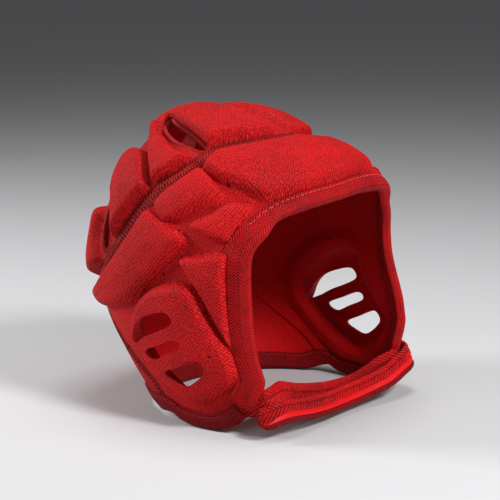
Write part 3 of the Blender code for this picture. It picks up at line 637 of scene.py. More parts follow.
def cloth(name, pattern, scale, dark_tone_and_shade, lit, glint, bump_mm=0.3, roughness=0.62, sheen=0.03,
          painted_glint_share=0.5, column=None, specular=0.12):
    """A cloth: painted shade to lit colour by the pattern, random tone by the mottle, and painted glints on
    its raised yarns.
    """
    material = bpy.data.materials.new(name)
    material.use_nodes = True
    tree = material.node_tree
    shader = tree.nodes["Principled BSDF"]
    place = add(tree, "UVMap", uv_map="weave").outputs["UV"]
    weave = add(tree, "Group")
    weave.node_tree = pattern
    tree.links.new(place, weave.inputs["Place"])
    weave.inputs["Per Metre"].default_value = scale
    if column:
        weave.inputs["Column"].default_value = column
    mottle = add(tree, "Group")
    mottle.node_tree = MOTTLE
    # Painted shade: the colour goes to the dark one where the pattern is low, and the mottle adds random
    # tone.
    raised = ramp(tree, weave.outputs["Height"], 0.1, 1.1)
    depth = maths(tree, "ADD", maths(tree, "MULTIPLY", raised, PAINTED_SHADE_SHARE),
                  maths(tree, "MULTIPLY", mottle.outputs["Shade"], MOTTLE_SHARE))
    colour = mix(tree, depth, dark_tone_and_shade + (1.0,), lit + (1.0,))
    # Painted highlight: the glint colour is blended into the base colour where the glint mask is.
    bright = maths(tree, "MULTIPLY", weave.outputs["Painted Glint"], painted_glint_share)
    tree.links.new(mix(tree, bright, colour, glint + (1.0,)), shader.inputs["Base Color"])
    rough = ramp(tree, weave.outputs["Painted Glint"], 0.0, 1.0, roughness + ROUGH_BETWEEN, roughness + ROUGH_GLINT)
    tree.links.new(rough, shader.inputs["Roughness"])
    bump = add(tree, "Bump", {"Height": weave.outputs["Height"], "Strength": BUMP_STRENGTH,
                              "Distance": bump_mm * MM})
    tree.links.new(bump.outputs["Normal"], shader.inputs["Normal"])
    shader.inputs["Sheen Weight"].default_value = sheen
    shader.inputs["Sheen Roughness"].default_value = SHEEN_ROUGHNESS
    shader.inputs["Sheen Tint"].default_value = SHEEN_TINT
    shader.inputs["Specular IOR Level"].default_value = specular
    return material


print("a cloth is", PAINTED_SHADE_SHARE, "pattern and", MOTTLE_SHARE, "mottle")

# %% [markdown]
# One red dye, ten cloths here, and one more with the strap. Each call gives the pattern and
# its repeats a metre, then the colour of painted shade between the yarns, the lit one on them,
# and the one of their painted glints. The colours are linear light, so they look lighter than
# their numbers.

# %% Ten cloths
OUTER_KNIT = cloth("outer_knit", KNIT, 700.0,
                   (0.18, 0.0004, 0.001), (0.46, 0.0012, 0.003), (0.88, 0.045, 0.045),
                   bump_mm=0.24, painted_glint_share=0.6)
# The flange is the same knit as the pads, painted darker as shade in its recess beside the seam.
SHADED_FLANGE_KNIT = cloth("shaded_flange_knit", KNIT, 900.0,
                    (0.07, 0.0003, 0.001), (0.22, 0.0008, 0.002), (0.36, 0.01, 0.012),
                    bump_mm=0.2)
LINING = cloth("smooth_lining", PLAIN, 620.0,
               (0.26, 0.0005, 0.0015), (0.46, 0.0012, 0.003), (0.55, 0.006, 0.006),
               bump_mm=0.08, roughness=0.7, sheen=0.05, painted_glint_share=0.2)
CUT_EDGE = cloth("cut_edge", PLAIN, 1200.0,
                 (0.40, 0.004, 0.006), (0.66, 0.012, 0.015), (0.80, 0.08, 0.08),
                 bump_mm=0.1, roughness=0.55)
TAPE = cloth("ribbed_tape", RIBS, 540.0,
             (0.07, 0.0003, 0.001), (0.42, 0.0012, 0.003), (0.74, 0.03, 0.03),
             bump_mm=0.35, roughness=0.6, column=0.0044)
# The hem is the same knit, painted dark as shade where the lower edge faces the floor.
SHADED_HEM_CLOTH = cloth("shaded_turned_hem", KNIT, 760.0,
                  (0.06, 0.0003, 0.001), (0.20, 0.001, 0.003), (0.34, 0.02, 0.02),
                  bump_mm=0.2, roughness=0.75, sheen=0.05, painted_glint_share=0.25)
SATIN = cloth("satin_face", PLAIN, 1500.0,
              (0.46, 0.0012, 0.003), (0.58, 0.0018, 0.004), (0.80, 0.015, 0.015),
              bump_mm=0.04, roughness=0.42, painted_glint_share=0.25, specular=0.22)
WEBBING_CLOTH = cloth("ribbed_webbing", RIBS, 520.0,
                      (0.13, 0.0006, 0.0015), (0.44, 0.0025, 0.006), (0.76, 0.06, 0.06),
                      bump_mm=0.4, roughness=0.6, column=0.05)
THREAD = cloth("sewing_thread", PLAIN, 2400.0,
               (0.48, 0.008, 0.010), (0.78, 0.035, 0.04), (0.95, 0.20, 0.20),
               bump_mm=0.03, roughness=0.45, specular=0.3)
DARK_THREAD = cloth("dark_thread", PLAIN, 2400.0,
                    (0.20, 0.001, 0.002), (0.44, 0.006, 0.008), (0.70, 0.08, 0.08),
                    bump_mm=0.03, roughness=0.5)
print("cloths:", len(bpy.data.materials))

# %% [markdown]
# ## The front shell
# Forehead, temples, cheeks and ear guards are one band of knit over foam. Each pad is an
# outline with a crisp foot and a round top edge, as pressed foam has, and a slight dome.
# Cloth simulation would swell these pads like pillows, while pressed foam keeps its edges,
# so they are formed directly, from a table of outlines, heights and bevels in millimetres.

# %% Front pads
# Columns: name, height, bevel, dome, outline.
FRONT_PADS = [
    ("forehead", 7.6, 6.5, 1.6, [(-40, 0.225), (-20, 0.225), (0, 0.225), (20, 0.230), (40, 0.255),
                                 (58, 0.285), (66, 0.340), (58, 0.372), (47, 0.393), (39, 0.420),
                                 (28, 0.418), (12, 0.405), (0, 0.402), (-12, 0.405), (-28, 0.418),
                                 (-40, 0.420)]),
    ("temple_upper", 5.2, 6.0, 1.8, [(67, 0.335), (60, 0.378), (57.5, 0.402), (62, 0.428), (69, 0.447),
                                     (82, 0.487), (88, 0.480), (92, 0.448), (88, 0.415), (76, 0.360)]),
    ("temple_lower", 5.4, 6.0, 1.8, [(74, 0.488), (65, 0.452), (56, 0.416), (46, 0.416), (43, 0.440),
                                     (48, 0.475), (53, 0.505), (58, 0.517), (66, 0.512)]),
    ("rear_band", 7.0, 8.0, 2.0, [(94, 0.455), (85, 0.480), (76, 0.508), (75, 0.532), (79, 0.560),
                                  (85, 0.602), (92, 0.642), (103, 0.698), (114, 0.722), (127, 0.735),
                                  (138, 0.700), (124, 0.645), (112, 0.580), (104, 0.520), (98, 0.465)]),
    ("cheek", 5.8, 5.0, 1.6, [(78, 0.569), (68, 0.555), (58, 0.543), (52, 0.560), (52, 0.650),
                              (54, 0.750), (58.5, 0.815), (60.5, 0.790), (64, 0.735), (69, 0.660),
                              (74, 0.613)]),
    ("ear_guard", 8.6, 6.5, 2.0, [(88.5, 0.642), (77, 0.624), (71, 0.640), (67, 0.697), (62.5, 0.762),
                                  (59.5, 0.814), (60.5, 0.852), (66, 0.884), (75, 0.916), (83, 0.920),
                                  (91, 0.900), (99, 0.860), (104, 0.814), (106, 0.779),
                                  (103, 0.726), (96.5, 0.675)]),
]
print("front pads:", [pad[0] for pad in FRONT_PADS])

# %% [markdown]
# The wearer hears through three slots in each ear guard, and small eyelets are punched
# through the valleys between the pads. Both are cut right through foam and cloth.

# %% Slots and eyelets
SLOTS = [
    [(104, 0.797), (101, 0.757), (96, 0.726), (89, 0.707), (82, 0.696), (79.5, 0.708),
     (80, 0.724), (86, 0.744), (94, 0.765), (100, 0.785)],
    [(97.5, 0.806), (94, 0.824), (86, 0.803), (78.5, 0.781), (78.2, 0.764), (82, 0.764), (90, 0.785)],
    [(90, 0.852), (86, 0.870), (81, 0.877), (75, 0.858), (70.5, 0.830), (72, 0.806), (76, 0.811),
     (83, 0.831)],
]
FRONT_EYELETS = [(54, 0.375), (78.5, 0.505), (86, 0.6125), (67.5, 0.792)]
CROWN_EYELETS = [(119, 0.829)]
EYELET_RADIUS = 1.25


def cut_eyelets(rows, faces, places):
    """Round holes: the value is the distance from each centre less its radius."""
    for angle, level in places:
        distance = np.linalg.norm(rows[:, CHART] - (angle * DEGREE, level * LEVEL), axis=1)
        rows, faces = trim(rows, faces, distance - EYELET_RADIUS)
    return rows, faces


print("slots:", len(SLOTS), "eyelets:", len(FRONT_EYELETS + CROWN_EYELETS))

# %% [markdown]
# Pads press flat under the tapes and roll over at the seam, and the cloth between them is
# pulled into long soft waves. Each of these is a share between 0 and 1 that depends on one
# distance, so they multiply without a visible join.

# %% Rise of the cloth
# Lengths are in millimetres, and those of the waves are over two pi. Where a tape changes is
# in degrees from the front, but the golden angle is in radians.
HALF_WALL = 1.6
BROW_TAPE = 7.5
CHEEK_TAPE = 13.0
HEM_TAPE = 9.0
CHEEK_ANGLE = 36
CHEEK_EASE = 12
HEM_ANGLE = 56
HEM_EASE = 6
TAPE_MARGIN = 0.3
TAPE_CLEAR = 4.5
PAD_DOME_REACH = 26.0
BEVEL_POWER = 2.9
WAVES = 7
GOLDEN_ANGLE = 2.399963
WAVE_LENGTH = 5.2
WAVE_GROWTH = 1.9
WAVE_HEIGHT = 0.35
WAVE_INSIDE = 0.4
WAVE_FROM_EDGE = 12
WAVE_FROM_SEAM = 5


def bevel_curve(x):
    """1 - (1 - x)^2.9: steep at a pad's foot and level at its top."""
    return 1 - (1 - np.clip(x, 0, 1))**BEVEL_POWER


def pads_rise(chart, pads):
    """The highest of the pads at each chart place: height times its bevel, plus its dome."""
    rise = np.zeros(len(chart))
    for _, height, bevel, dome, outline in pads:
        depth = depth_inside(chart, mm_ring(outline))
        swell = height * bevel_curve(depth / bevel) + dome * ease(depth / PAD_DOME_REACH)
        rise = np.maximum(rise, swell)
    return rise


def pull_waves(points):
    """Long soft waves of pulled cloth: a few sines with directions turned by the golden angle."""
    total = 0.0
    for k in range(WAVES):
        turn = k * GOLDEN_ANGLE
        direction = np.array([np.cos(turn), np.sin(turn), np.cos(k * 1.1)]) / (WAVE_LENGTH + WAVE_GROWTH * k)
        total = total + np.sin(points @ direction + 1.7 * k) * (0.5 + 0.08 * k)
    return total / 3


def cloth_waves(points, edge, seam):
    """Pulled cloth away from the free edge and the seam, where it is sewn down flat."""
    return pull_waves(points) * WAVE_HEIGHT * ease(edge / WAVE_FROM_EDGE) * ease(seam / WAVE_FROM_SEAM)


def tape_width(angle):
    """The face tape is wide at the cheeks and narrow over the brow."""
    return BROW_TAPE + (CHEEK_TAPE - BROW_TAPE) * ease((np.abs(angle) - CHEEK_ANGLE) / CHEEK_EASE)


def clear_of_tape(chart, edge):
    """0 under the tapes, rising to 1 in a few millimetres beside them."""
    angle = chart[:, 0] / DEGREE
    at_hem = ease((angle - HEM_ANGLE) / HEM_EASE)
    width = tape_width(angle) * (1 - at_hem) + HEM_TAPE * at_hem
    return bevel_curve((edge - width - TAPE_MARGIN) / TAPE_CLEAR)


def skins(rows, faces, outer_rise, inner_rise):
    """The two skins along each row's outward direction, closed, in the frame's metres."""
    direction = rows[:, OUT] / np.linalg.norm(rows[:, OUT], axis=1, keepdims=True)
    outer = rows[:, BASE] + direction * outer_rise[:, None]
    inner = rows[:, BASE] + direction * inner_rise[:, None]
    points, faces, kind = thicken(outer, inner, faces)
    return stand(points), faces, kind


print("a wall is", 2 * HALF_WALL, "mm thick between its pads")

# %% [markdown]
# Now the band is made: a grid of angles and levels, cut along the seam, the free edge, the
# slots and the eyelets. Its outside rises with the pads. Its inside keeps level, except for
# a soft cup behind each ear guard that makes room for the ear, with a raised rim round it.

# %% Front shell
# Lengths are in millimetres, but FRONT_ANGLE is in degrees, and FRONT_TOP and FRONT_BOTTOM
# are levels.
FRONT_CELL = 1.3
FRONT_ANGLE = 142.0
FRONT_TOP, FRONT_BOTTOM = 0.215, 1.03
SEAM_GAP = 0.8
EDGE_INSET = 0.4
SEAM_ROLL = 4.0
SEAM_RIM = 1.5
CUP_DEPTH = 10.5
CUP_BEVEL = 9.0
CUP_RIM = 3.4
CUP_RIM_PLACE = 3.5
CUP_RIM_REACH = 9.5
CUP_FROM_TAPE = 5.0


def cut_shell(rows, faces, side):
    """Cut a grid to the front (side 1) or the crown (side -1) of the seam and to the free edge."""
    value = side * depth_inside(rows[:, CHART], FRONT_REGION) - SEAM_GAP / 2
    rows, faces = trim(rows, faces, value)
    return trim(rows, faces, -depth_inside(rows[:, CHART], VOID_REGION) - EDGE_INSET)


def edge_distances(rows, side):
    """Each row's distances from the seam and from the free edge, above 0 on the cloth."""
    chart = rows[:, CHART]
    return side * depth_inside(chart, FRONT_REGION), -depth_inside(chart, VOID_REGION)


def ear_cup(chart, edge):
    """A hollow that eases in inside the ear guard's outline, less a soft rim just outside it."""
    guard = depth_inside(chart, mm_ring(FRONT_PADS[-1][4]))
    rim = ease(1 - np.abs(guard + CUP_RIM_PLACE) / CUP_RIM_REACH)
    cup = CUP_DEPTH * ease((guard - 1.0) / CUP_BEVEL) - CUP_RIM * rim
    return cup * ease((edge - HEM_TAPE - 0.5) / CUP_FROM_TAPE)


def front_shell():
    """The front band on a grid of angles and levels, cut to the seam, the edge and the slots."""
    angle, level = np.meshgrid(np.arange(-FRONT_ANGLE, FRONT_ANGLE + 0.1, FRONT_CELL / DEGREE),
                               np.arange(FRONT_TOP, FRONT_BOTTOM, FRONT_CELL / LEVEL), indexing="ij")
    chart = np.stack([np.abs(angle) * DEGREE, level * LEVEL], -1)
    weave = np.stack([angle * DEGREE, level * LEVEL], -1) * MM
    rows, faces = surface_rows(shell_point(angle, level), chart, weave)
    rows, faces = cut_shell(rows, faces, 1)
    for slot in SLOTS:
        rows, faces = trim(rows, faces, -depth_inside(rows[:, CHART], mm_ring(slot)))
    rows, faces = cut_eyelets(rows, faces, FRONT_EYELETS)
    seam, edge = edge_distances(rows, 1)
    rolled = 0.5 + 0.5 * bevel_curve(seam / SEAM_ROLL)
    waves = cloth_waves(rows[:, BASE], edge, seam)
    chart = rows[:, CHART]
    outer = HALF_WALL + pads_rise(chart, FRONT_PADS) * clear_of_tape(chart, edge) * rolled + waves
    inner = -HALF_WALL + ear_cup(chart, edge) + WAVE_INSIDE * waves
    points, faces, kind = skins(rows, faces, outer, inner)
    near_seam = np.tile(seam, 2)[faces].max(1) < SEAM_RIM
    kind[(kind == 2) & near_seam] = 0
    item = piece("front_shell_knit", points, faces, np.tile(rows[:, WEAVE], (2, 1)),
                 [OUTER_KNIT, LINING, CUT_EDGE], kind)
    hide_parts("front_shell")


front_shell()

# %% [markdown]
# ## The crown shell
# Crown, back and nape are the second cloth shell. Its pads run from front to back over the
# crown, and lower ones sit behind. Gaps between them let heat out. Most outlines are places
# on the chart again, but the two long pads on top are drawn as they look from above.

# %% Crown pads
CROWN_PADS = [
    ("crown_side", 6.4, 6.0, 1.4, [(66, 0.300), (78, 0.350), (88, 0.395), (93, 0.418), (98, 0.365),
                                   (107, 0.302), (117, 0.262), (136, 0.232), (142, 0.205), (128, 0.196),
                                   (112, 0.222), (98, 0.252), (86, 0.280), (76, 0.295)]),
    ("rear_side", 7.4, 6.0, 1.6, [(97, 0.420), (102, 0.362), (110, 0.305), (122, 0.300), (132, 0.335),
                                  (129, 0.400), (124, 0.445), (117, 0.500), (116, 0.555), (118, 0.610),
                                  (110, 0.600), (104, 0.500)]),
    ("rear_low", 8.4, 7.0, 1.6, [(134, 0.505), (135, 0.560), (127, 0.605), (122, 0.640), (130, 0.680),
                                 (142, 0.672), (152, 0.632), (153, 0.560), (146, 0.500)]),
    ("rear_middle", 5.0, 8.0, 1.4, [(210, 0.290), (180, 0.290), (168, 0.300), (158, 0.350),
                                    (154, 0.420), (160, 0.500), (164, 0.575), (172, 0.585),
                                    (180, 0.585), (210, 0.585)]),
    ("nape", 4.0, 8.0, 1.2, [(210, 0.665), (180, 0.665), (168, 0.672), (158, 0.705), (152, 0.760),
                             (147, 0.835), (144, 0.885), (150, 0.910), (165, 0.925), (180, 0.930),
                             (210, 0.930)]),
]
# The two long pads on the crown are given from above, as (sideways, back).
TOP_PAD = (6.0, 8.0, 1.4, [(5, -30), (6, 0), (7, 30), (8, 58), (14, 74), (28, 76), (37, 66), (45, 52),
                           (50, 38), (52, 24), (52, 10), (50, -12), (32, -30), (16, -36)])
CROWN_GAP = [(62, 0.268), (70, 0.232), (83, 0.200), (98, 0.178), (112, 0.164), (126, 0.156),
             (131, 0.174), (117, 0.204), (101, 0.232), (88, 0.254), (76, 0.270), (67, 0.280)]
REAR_GAP = [(121, 0.455), (118.5, 0.500), (118, 0.550), (121, 0.590), (127, 0.588), (131, 0.540),
            (130, 0.480), (126, 0.452)]
GAPS = (CROWN_GAP, REAR_GAP)
print("crown pads:", [pad[0] for pad in CROWN_PADS], "and one from above")

# %% [markdown]
# An angle chart pinches together at the top of a dome, so this grid is made of rays from a
# centre inside the head instead, which run evenly over the top. The pads leave a flat
# flange along the seam, where the two shells are joined, and sink towards the gaps.

# %% Crown shell
# Rays are spaced and spanned in degrees, and RAY_MM is millimetres a degree. GAP_SINK is a
# share and TOP_LEVEL a level. The others are lengths in millimetres.
RAY_STEP = 0.85
RAY_MM = 1.62
RAYS_ALONG = (-38, 219)
RAYS_ACROSS = 81
FLANGE = 9.5
FLANGE_RISE = 5.0
GAP_SINK = 0.65
GAP_REACH = 5.0
TOP_MARGIN = -3
TOP_LEVEL = 0.17


def crown_rise(rows):
    """Pads by chart, the long crown pads by their place from above, and less beside a gap."""
    chart, base = rows[:, CHART], rows[:, BASE]
    height, bevel, dome, outline = TOP_PAD
    above = depth_inside(np.stack([np.abs(base[:, 0]), base[:, 1]], -1), smooth_ring(outline))
    top = height * bevel_curve(above / bevel) + dome * ease(above / PAD_DOME_REACH)
    rise = np.maximum(pads_rise(chart, CROWN_PADS), top)
    beside = np.minimum(*(-depth_inside(chart, mm_ring(gap)) for gap in GAPS))
    return rise * (1 - GAP_SINK + GAP_SINK * bevel_curve(beside / GAP_REACH)), above


def crown_shell():
    """The crown on a grid of rays, cut to the seam, the hem, both gaps and an eyelet."""
    along, across = np.meshgrid(np.arange(*RAYS_ALONG, RAY_STEP),
                                np.arange(-RAYS_ACROSS, RAYS_ACROSS + 0.1, RAY_STEP), indexing="ij")
    points = crown_point(along, across)
    angle, level, _ = place_of(points)
    chart = np.stack([np.abs(angle) * DEGREE, level * LEVEL], -1)
    weave = np.stack([across, along], -1) * RAY_MM * MM
    rows, faces = surface_rows(points, chart, weave)
    rows, faces = cut_shell(rows, faces, -1)
    for gap in GAPS:
        rows, faces = trim(rows, faces, -depth_inside(rows[:, CHART], mm_ring(gap)))
    rows, faces = cut_eyelets(rows, faces, CROWN_EYELETS)
    seam, edge = edge_distances(rows, -1)
    waves = cloth_waves(rows[:, BASE], edge, seam - FLANGE)
    rise, above = crown_rise(rows)
    chart = rows[:, CHART]
    past_flange = bevel_curve((seam - FLANGE) / FLANGE_RISE)
    outer = HALF_WALL + rise * past_flange * clear_of_tape(chart, edge) + waves
    points, faces, kind = skins(rows, faces, outer, -HALF_WALL + WAVE_INSIDE * waves)
    # Faces on the flange take the darker knit, which is painted shade.
    on_flange = np.tile(seam, 2)[faces].mean(1) < FLANGE
    kind[(kind == 0) & on_flange] = 2
    on_top = (np.tile(above, 2)[faces].mean(1) > TOP_MARGIN) | \
        (np.tile(chart[:, 1], 2)[faces].mean(1) < TOP_LEVEL * LEVEL)
    weave = np.where(on_top[:, None, None], np.tile(rows[:, WEAVE], (2, 1))[faces],
                     np.tile(chart * MM, (2, 1))[faces])
    item = piece("crown_shell_knit", points, faces, weave, [OUTER_KNIT, LINING, SHADED_FLANGE_KNIT], kind)
    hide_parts("crown_shell")


crown_shell()

# %% [markdown]
# ## Edge tapes
# A binding tape is folded over the raw edge and sewn through. Its profile is a channel:
# an outer leg with a soft dome and a sewn groove, a round fold past the edge, and an inner
# leg. The profile is carried along the edge, and the weave follows its true length both
# ways, so the chevrons stay even round the corners.

# %% Paths over the shell
NEAR_ANGLE = 0.2
NEAR_LEVEL = 0.001


def over_shell(places, height):
    """Points over the form at a height: the place plus its unit normal times the height.

    The normal is the cross product of two small steps, one aside and one down."""
    angle, level = places[..., 0], places[..., 1]
    normal = np.cross(shell_point(angle + NEAR_ANGLE, level) - shell_point(angle - NEAR_ANGLE, level),
                      shell_point(angle, level + NEAR_LEVEL) - shell_point(angle, level - NEAR_LEVEL))
    normal /= np.linalg.norm(normal, axis=-1, keepdims=True)
    base = shell_point(angle, level)
    normal *= np.sign(np.sum(normal * (base - CROWN_CENTRE), -1, keepdims=True))
    return base + normal * np.broadcast_to(height, angle.shape)[..., None]


def path_reach(points):
    """The length from the first point to each: the running sum of the steps between them."""
    steps = np.linalg.norm(np.diff(points, axis=0), axis=1)
    return np.concatenate([[0], np.cumsum(steps)])


def even_path(rows, spacing):
    """Evenly spaced chart places along a smooth path, with the direction across it."""
    fine = smooth_path(rows, 16) * (DEGREE, LEVEL)
    reach = path_reach(fine)
    stops = np.linspace(0, reach[-1], int(round(reach[-1] / spacing)) + 1)
    path = np.stack([np.interp(stops, reach, fine[:, k]) for k in (0, 1)], -1)
    along = np.gradient(path, axis=0)
    along /= np.linalg.norm(along, axis=1, keepdims=True)
    return path, np.stack([-along[:, 1], along[:, 0]], -1), stops


def cloth_side(path, across):
    """1 where across points from the free edge into the cloth, and -1 where it points out."""
    probe = path[9:10] + across[9:10] * 2
    beyond = depth_inside(np.stack([np.abs(probe[:, 0]), probe[:, 1]], -1), VOID_REGION)[0] > 0
    return -1 if beyond else 1


print("a path is even places, the directions across it, and its lengths")

# %% [markdown]
# Profiles carried along a path make a loft: each profile is joined to the next by a ring of
# triangles, and a fan closes each end. The weave's two directions are the length along the
# path and the length round the profile.

# %% Lofts


def loft(sections):
    """Triangles between closed sections in order, with a fan at each end."""
    count, size = sections.shape[:2]
    i, j = np.meshgrid(np.arange(count - 1), np.arange(size), indexing="ij")
    a, b = (i * size + j).reshape(-1), (i * size + (j + 1) % size).reshape(-1)
    points = np.concatenate([sections.reshape(-1, 3), sections[[0, -1]].mean(1)])
    ring = np.arange(size)
    following = (ring + 1) % size
    last = (count - 1) * size
    faces = np.concatenate([np.stack([a, b, b + size], -1), np.stack([a, b + size, a + size], -1),
                            np.stack([following, ring, np.full(size, count * size)], -1),
                            np.stack([ring + last, following + last, np.full(size, count * size + 1)], -1)])
    return points, faces


def loft_weave(stops, around, faces):
    """Weave corners of a loft: length along it, and length round its profile with no wrap."""
    size = around.shape[1]
    u = np.concatenate([np.repeat(stops, size), stops[[0, -1]]])
    v = np.concatenate([around.reshape(-1), np.zeros(2)])
    corners = np.stack([u, v], -1)[faces]
    closing = (faces % size == size - 1).any(1) & (faces % size == 0).any(1)
    wrap = closing[:, None] & (faces % size == 0)
    corners[..., 1] += np.where(wrap, around.max(), 0.0)
    return corners * MM


print("a loft is closed at both ends")

# %% [markdown]
# The same channel makes both tapes, so its sizes are values: the width of each leg, how
# close it lies to the shell, and its thickness. The hem's channel is kept just above the
# floor, where its own weight flattens it.

# %% Folded channel
GROOVE_PLACE = 2.0
GROOVE_DEPTH = 0.55
TAPE_DOME = 0.45
FOLD_ROUND = 0.45
LEG_START = 0.3
TAPE_STEP = 1.6
FLOOR_CLEAR = 0.15
TAPE_LOW = HALF_WALL + 0.15


def channel(width, inner_width, low, thick):
    """The folded tape's profile as (aside, height) rows for one width."""
    outer = np.linspace(0, 1, 19)
    fold = np.linspace(np.pi / 2, 3 * np.pi / 2, 9)[1:-1]
    high = low + thick
    groove = np.exp(-(outer * width - GROOVE_PLACE)**2 / 0.5)
    dome = TAPE_DOME * np.sin(np.pi * outer) - GROOVE_DEPTH * groove
    rows = [((1 - outer) * width, high + dome),
            (high * np.cos(fold) * FOLD_ROUND, high * np.sin(fold)),
            (np.linspace(0, inner_width, 6), np.full(6, -high)),
            (np.linspace(inner_width, LEG_START, 5), np.full(5, -low)),
            (np.linspace(LEG_START, width, 8), np.full(8, low))]
    return [np.concatenate([row[k] for row in rows]) for k in (0, 1)]


def edge_tape(name, rows, width, inner_width, thick, material, rests=False):
    """The channel carried along the edge places in rows."""
    path, across, stops = even_path(rows, TAPE_STEP)
    across = across * cloth_side(path, across)
    profiles = [channel(one, inner_width, TAPE_LOW, thick) for one in width(path[:, 0] / DEGREE)]
    aside, height = (np.stack([profile[k] for profile in profiles]) for k in (0, 1))
    places = (path[:, None] + across[:, None] * aside[..., None]) / (DEGREE, LEVEL)
    sections = over_shell(places, height)
    if rests:
        sections[..., 2] = np.maximum(sections[..., 2], FLOOR_CLEAR)
    steps = np.hypot(np.diff(aside, prepend=aside[:, :1]), np.diff(height, prepend=height[:, :1]))
    points, faces = loft(sections)
    return piece(name, stand(points), faces, loft_weave(stops, np.cumsum(steps, 1), faces), [material])


print("tape widths:", BROW_TAPE, CHEEK_TAPE, HEM_TAPE, "mm")

# %% [markdown]
# The ribbed tape runs round the face opening from cheek to cheek and turns under at both
# cheek corners. A plain band goes on from there, round the ear guards and the nape.

# %% Face tape and hem
FACE_THICK = 1.5
HEM_THICK = 1.2
CHEEK_TURN = (58.5, 0.930)


def mirrored(rows):
    """Rows from the wearer's right over the front to the left, given for one side."""
    return [(-x, y) for x, y in rows[:0:-1]] + list(rows)


def hem_width(angle):
    """The hem's band has the same width all along."""
    return HEM_TAPE + 0 * angle


face_rows = mirrored(FREE_EDGE[:HEM_FRONT] + [CHEEK_TURN])
face_tape = edge_tape("face_tape_ribbed", face_rows, tape_width, BROW_TAPE, FACE_THICK, TAPE)
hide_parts("face_tape")

hem_rows = FREE_EDGE[HEM_FRONT:] + [(360 - x, y) for x, y in FREE_EDGE[-2:HEM_FRONT - 1:-1]]
# The hem band's dark cloth is painted shade.
hem = edge_tape("hem_band_turned", hem_rows, hem_width, HEM_TAPE, HEM_THICK, SHADED_HEM_CLOTH, rests=True)
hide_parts("hem_tape")

# %% [markdown]
# ## The chin strap
# The strap is two soft lengths that wrap over each other under the chin: a ribbed inner one
# between the cheeks, and an outer one from the far cheek with a rounded free end. Each is a
# flat profile with soft edges, carried along a centre line that leans and twists with the
# chin. Each row of the tables is a point of that line and its lean in degrees.

# %% Strap lines
# Each strap: width, thickness and its line from the wearer's right to the left.
INNER_STRAP = (18.0, 2.6, [
    (-68.7, -44.6, 19.9, 0), (-66.8, -47.8, 19.4, 2), (-62.0, -49.3, 20.6, 8), (-50.0, -47.5, 21.5, 18),
    (-40.0, -46.0, 19.0, 25), (-28.0, -45.3, 15.6, 25), (0.0, -44.0, 10.6, 25), (25.0, -45.0, 10.2, 25),
    (42.0, -46.0, 13.4, 24), (52.0, -47.5, 17.4, 18), (62.0, -49.3, 20.0, 8), (66.8, -47.8, 19.4, 2),
    (68.7, -44.6, 19.9, 0)])
OUTER_STRAP = (14.0, 3.2, [
    (-78.0, -52.6, 12.2, 29), (-72.5, -56.2, 13.9, 30), (-65.0, -58.4, 15.4, 32),
    (-54.0, -59.1, 15.4, 32), (-36.0, -58.2, 12.9, 33), (-18.0, -56.8, 11.4, 36),
    (-2.0, -54.6, 10.8, 38), (14.0, -53.7, 11.1, 38), (30.0, -54.5, 12.7, 36), (46.0, -56.2, 15.6, 36),
    (60.0, -55.4, 19.4, 40), (70.0, -54.1, 22.2, 34), (77.5, -50.0, 23.8, 20), (81.0, -43.0, 24.0, 6),
    (82.2, -38.5, 23.8, 0)])
# The inner strap is sewn on behind both cheeks, at this point and its mirrored one.
TUCK = (-72.0, -37.5, 20.5, 0)
TUCKED_LINE = [TUCK] + INNER_STRAP[2] + [(-TUCK[0],) + TUCK[1:]]


def strap_frame(rows, spacing):
    """Evenly spaced centres with the directions along, across (tilted by the lean) and out."""
    fine = smooth_path(rows, 24)
    reach = path_reach(fine[:, :3])
    stops = np.linspace(0, reach[-1], int(round(reach[-1] / spacing)) + 1)
    centre = np.stack([np.interp(stops, reach, fine[:, k]) for k in range(3)], -1)
    lean = np.radians(np.interp(stops, reach, fine[:, 3]))[:, None]
    along = np.gradient(centre, axis=0)
    along /= np.linalg.norm(along, axis=1, keepdims=True)
    level_out = np.cross(along, (0, 0, 1.0))
    level_out /= np.linalg.norm(level_out, axis=1, keepdims=True)
    wide = np.cos(lean) * np.cross(level_out, along) - np.sin(lean) * level_out
    flat = np.cross(along, wide)
    if np.mean(flat[:, 1]) > 0:
        flat = -flat
    return centre, wide, flat, stops


print("strap widths:", INNER_STRAP[0], OUTER_STRAP[0], "mm")

# %% [markdown]
# Both straps have herringbone ribs in relief, so that their edges catch the light. The outer
# one has three bands side by side: herringbone, bright satin that runs out to a point at the
# free end, and a dark edge. Bands share the outer face of one mesh, by a border that moves
# along the length.

# %% Strap tools
ACROSS_COUNT = 41
RIB_PITCH = 3.0
RIB_SLOPE = 1.1
RIB_HEIGHT = 0.36
STEPS_PER_RIB = 8
MIDDLE_RIDGE = 0.35
BAND_GROOVE = 0.45
BAND_MARGIN = 0.02
FREE_END_ROUND = 7.0
SATIN_TAPER = 20.0
SCALLOP = 0.014
# Each slow ripple: twice its height, its length over two pi, and where it starts.
RIPPLES = ((0.25, 7.3, 0.0), (0.18, 3.1, 1.0))


def band_border(edge, bands, closing):
    """A border between bands: it closes on the last one as its share goes to 0."""
    return bands[-1] + (edge - bands[-1]) * closing


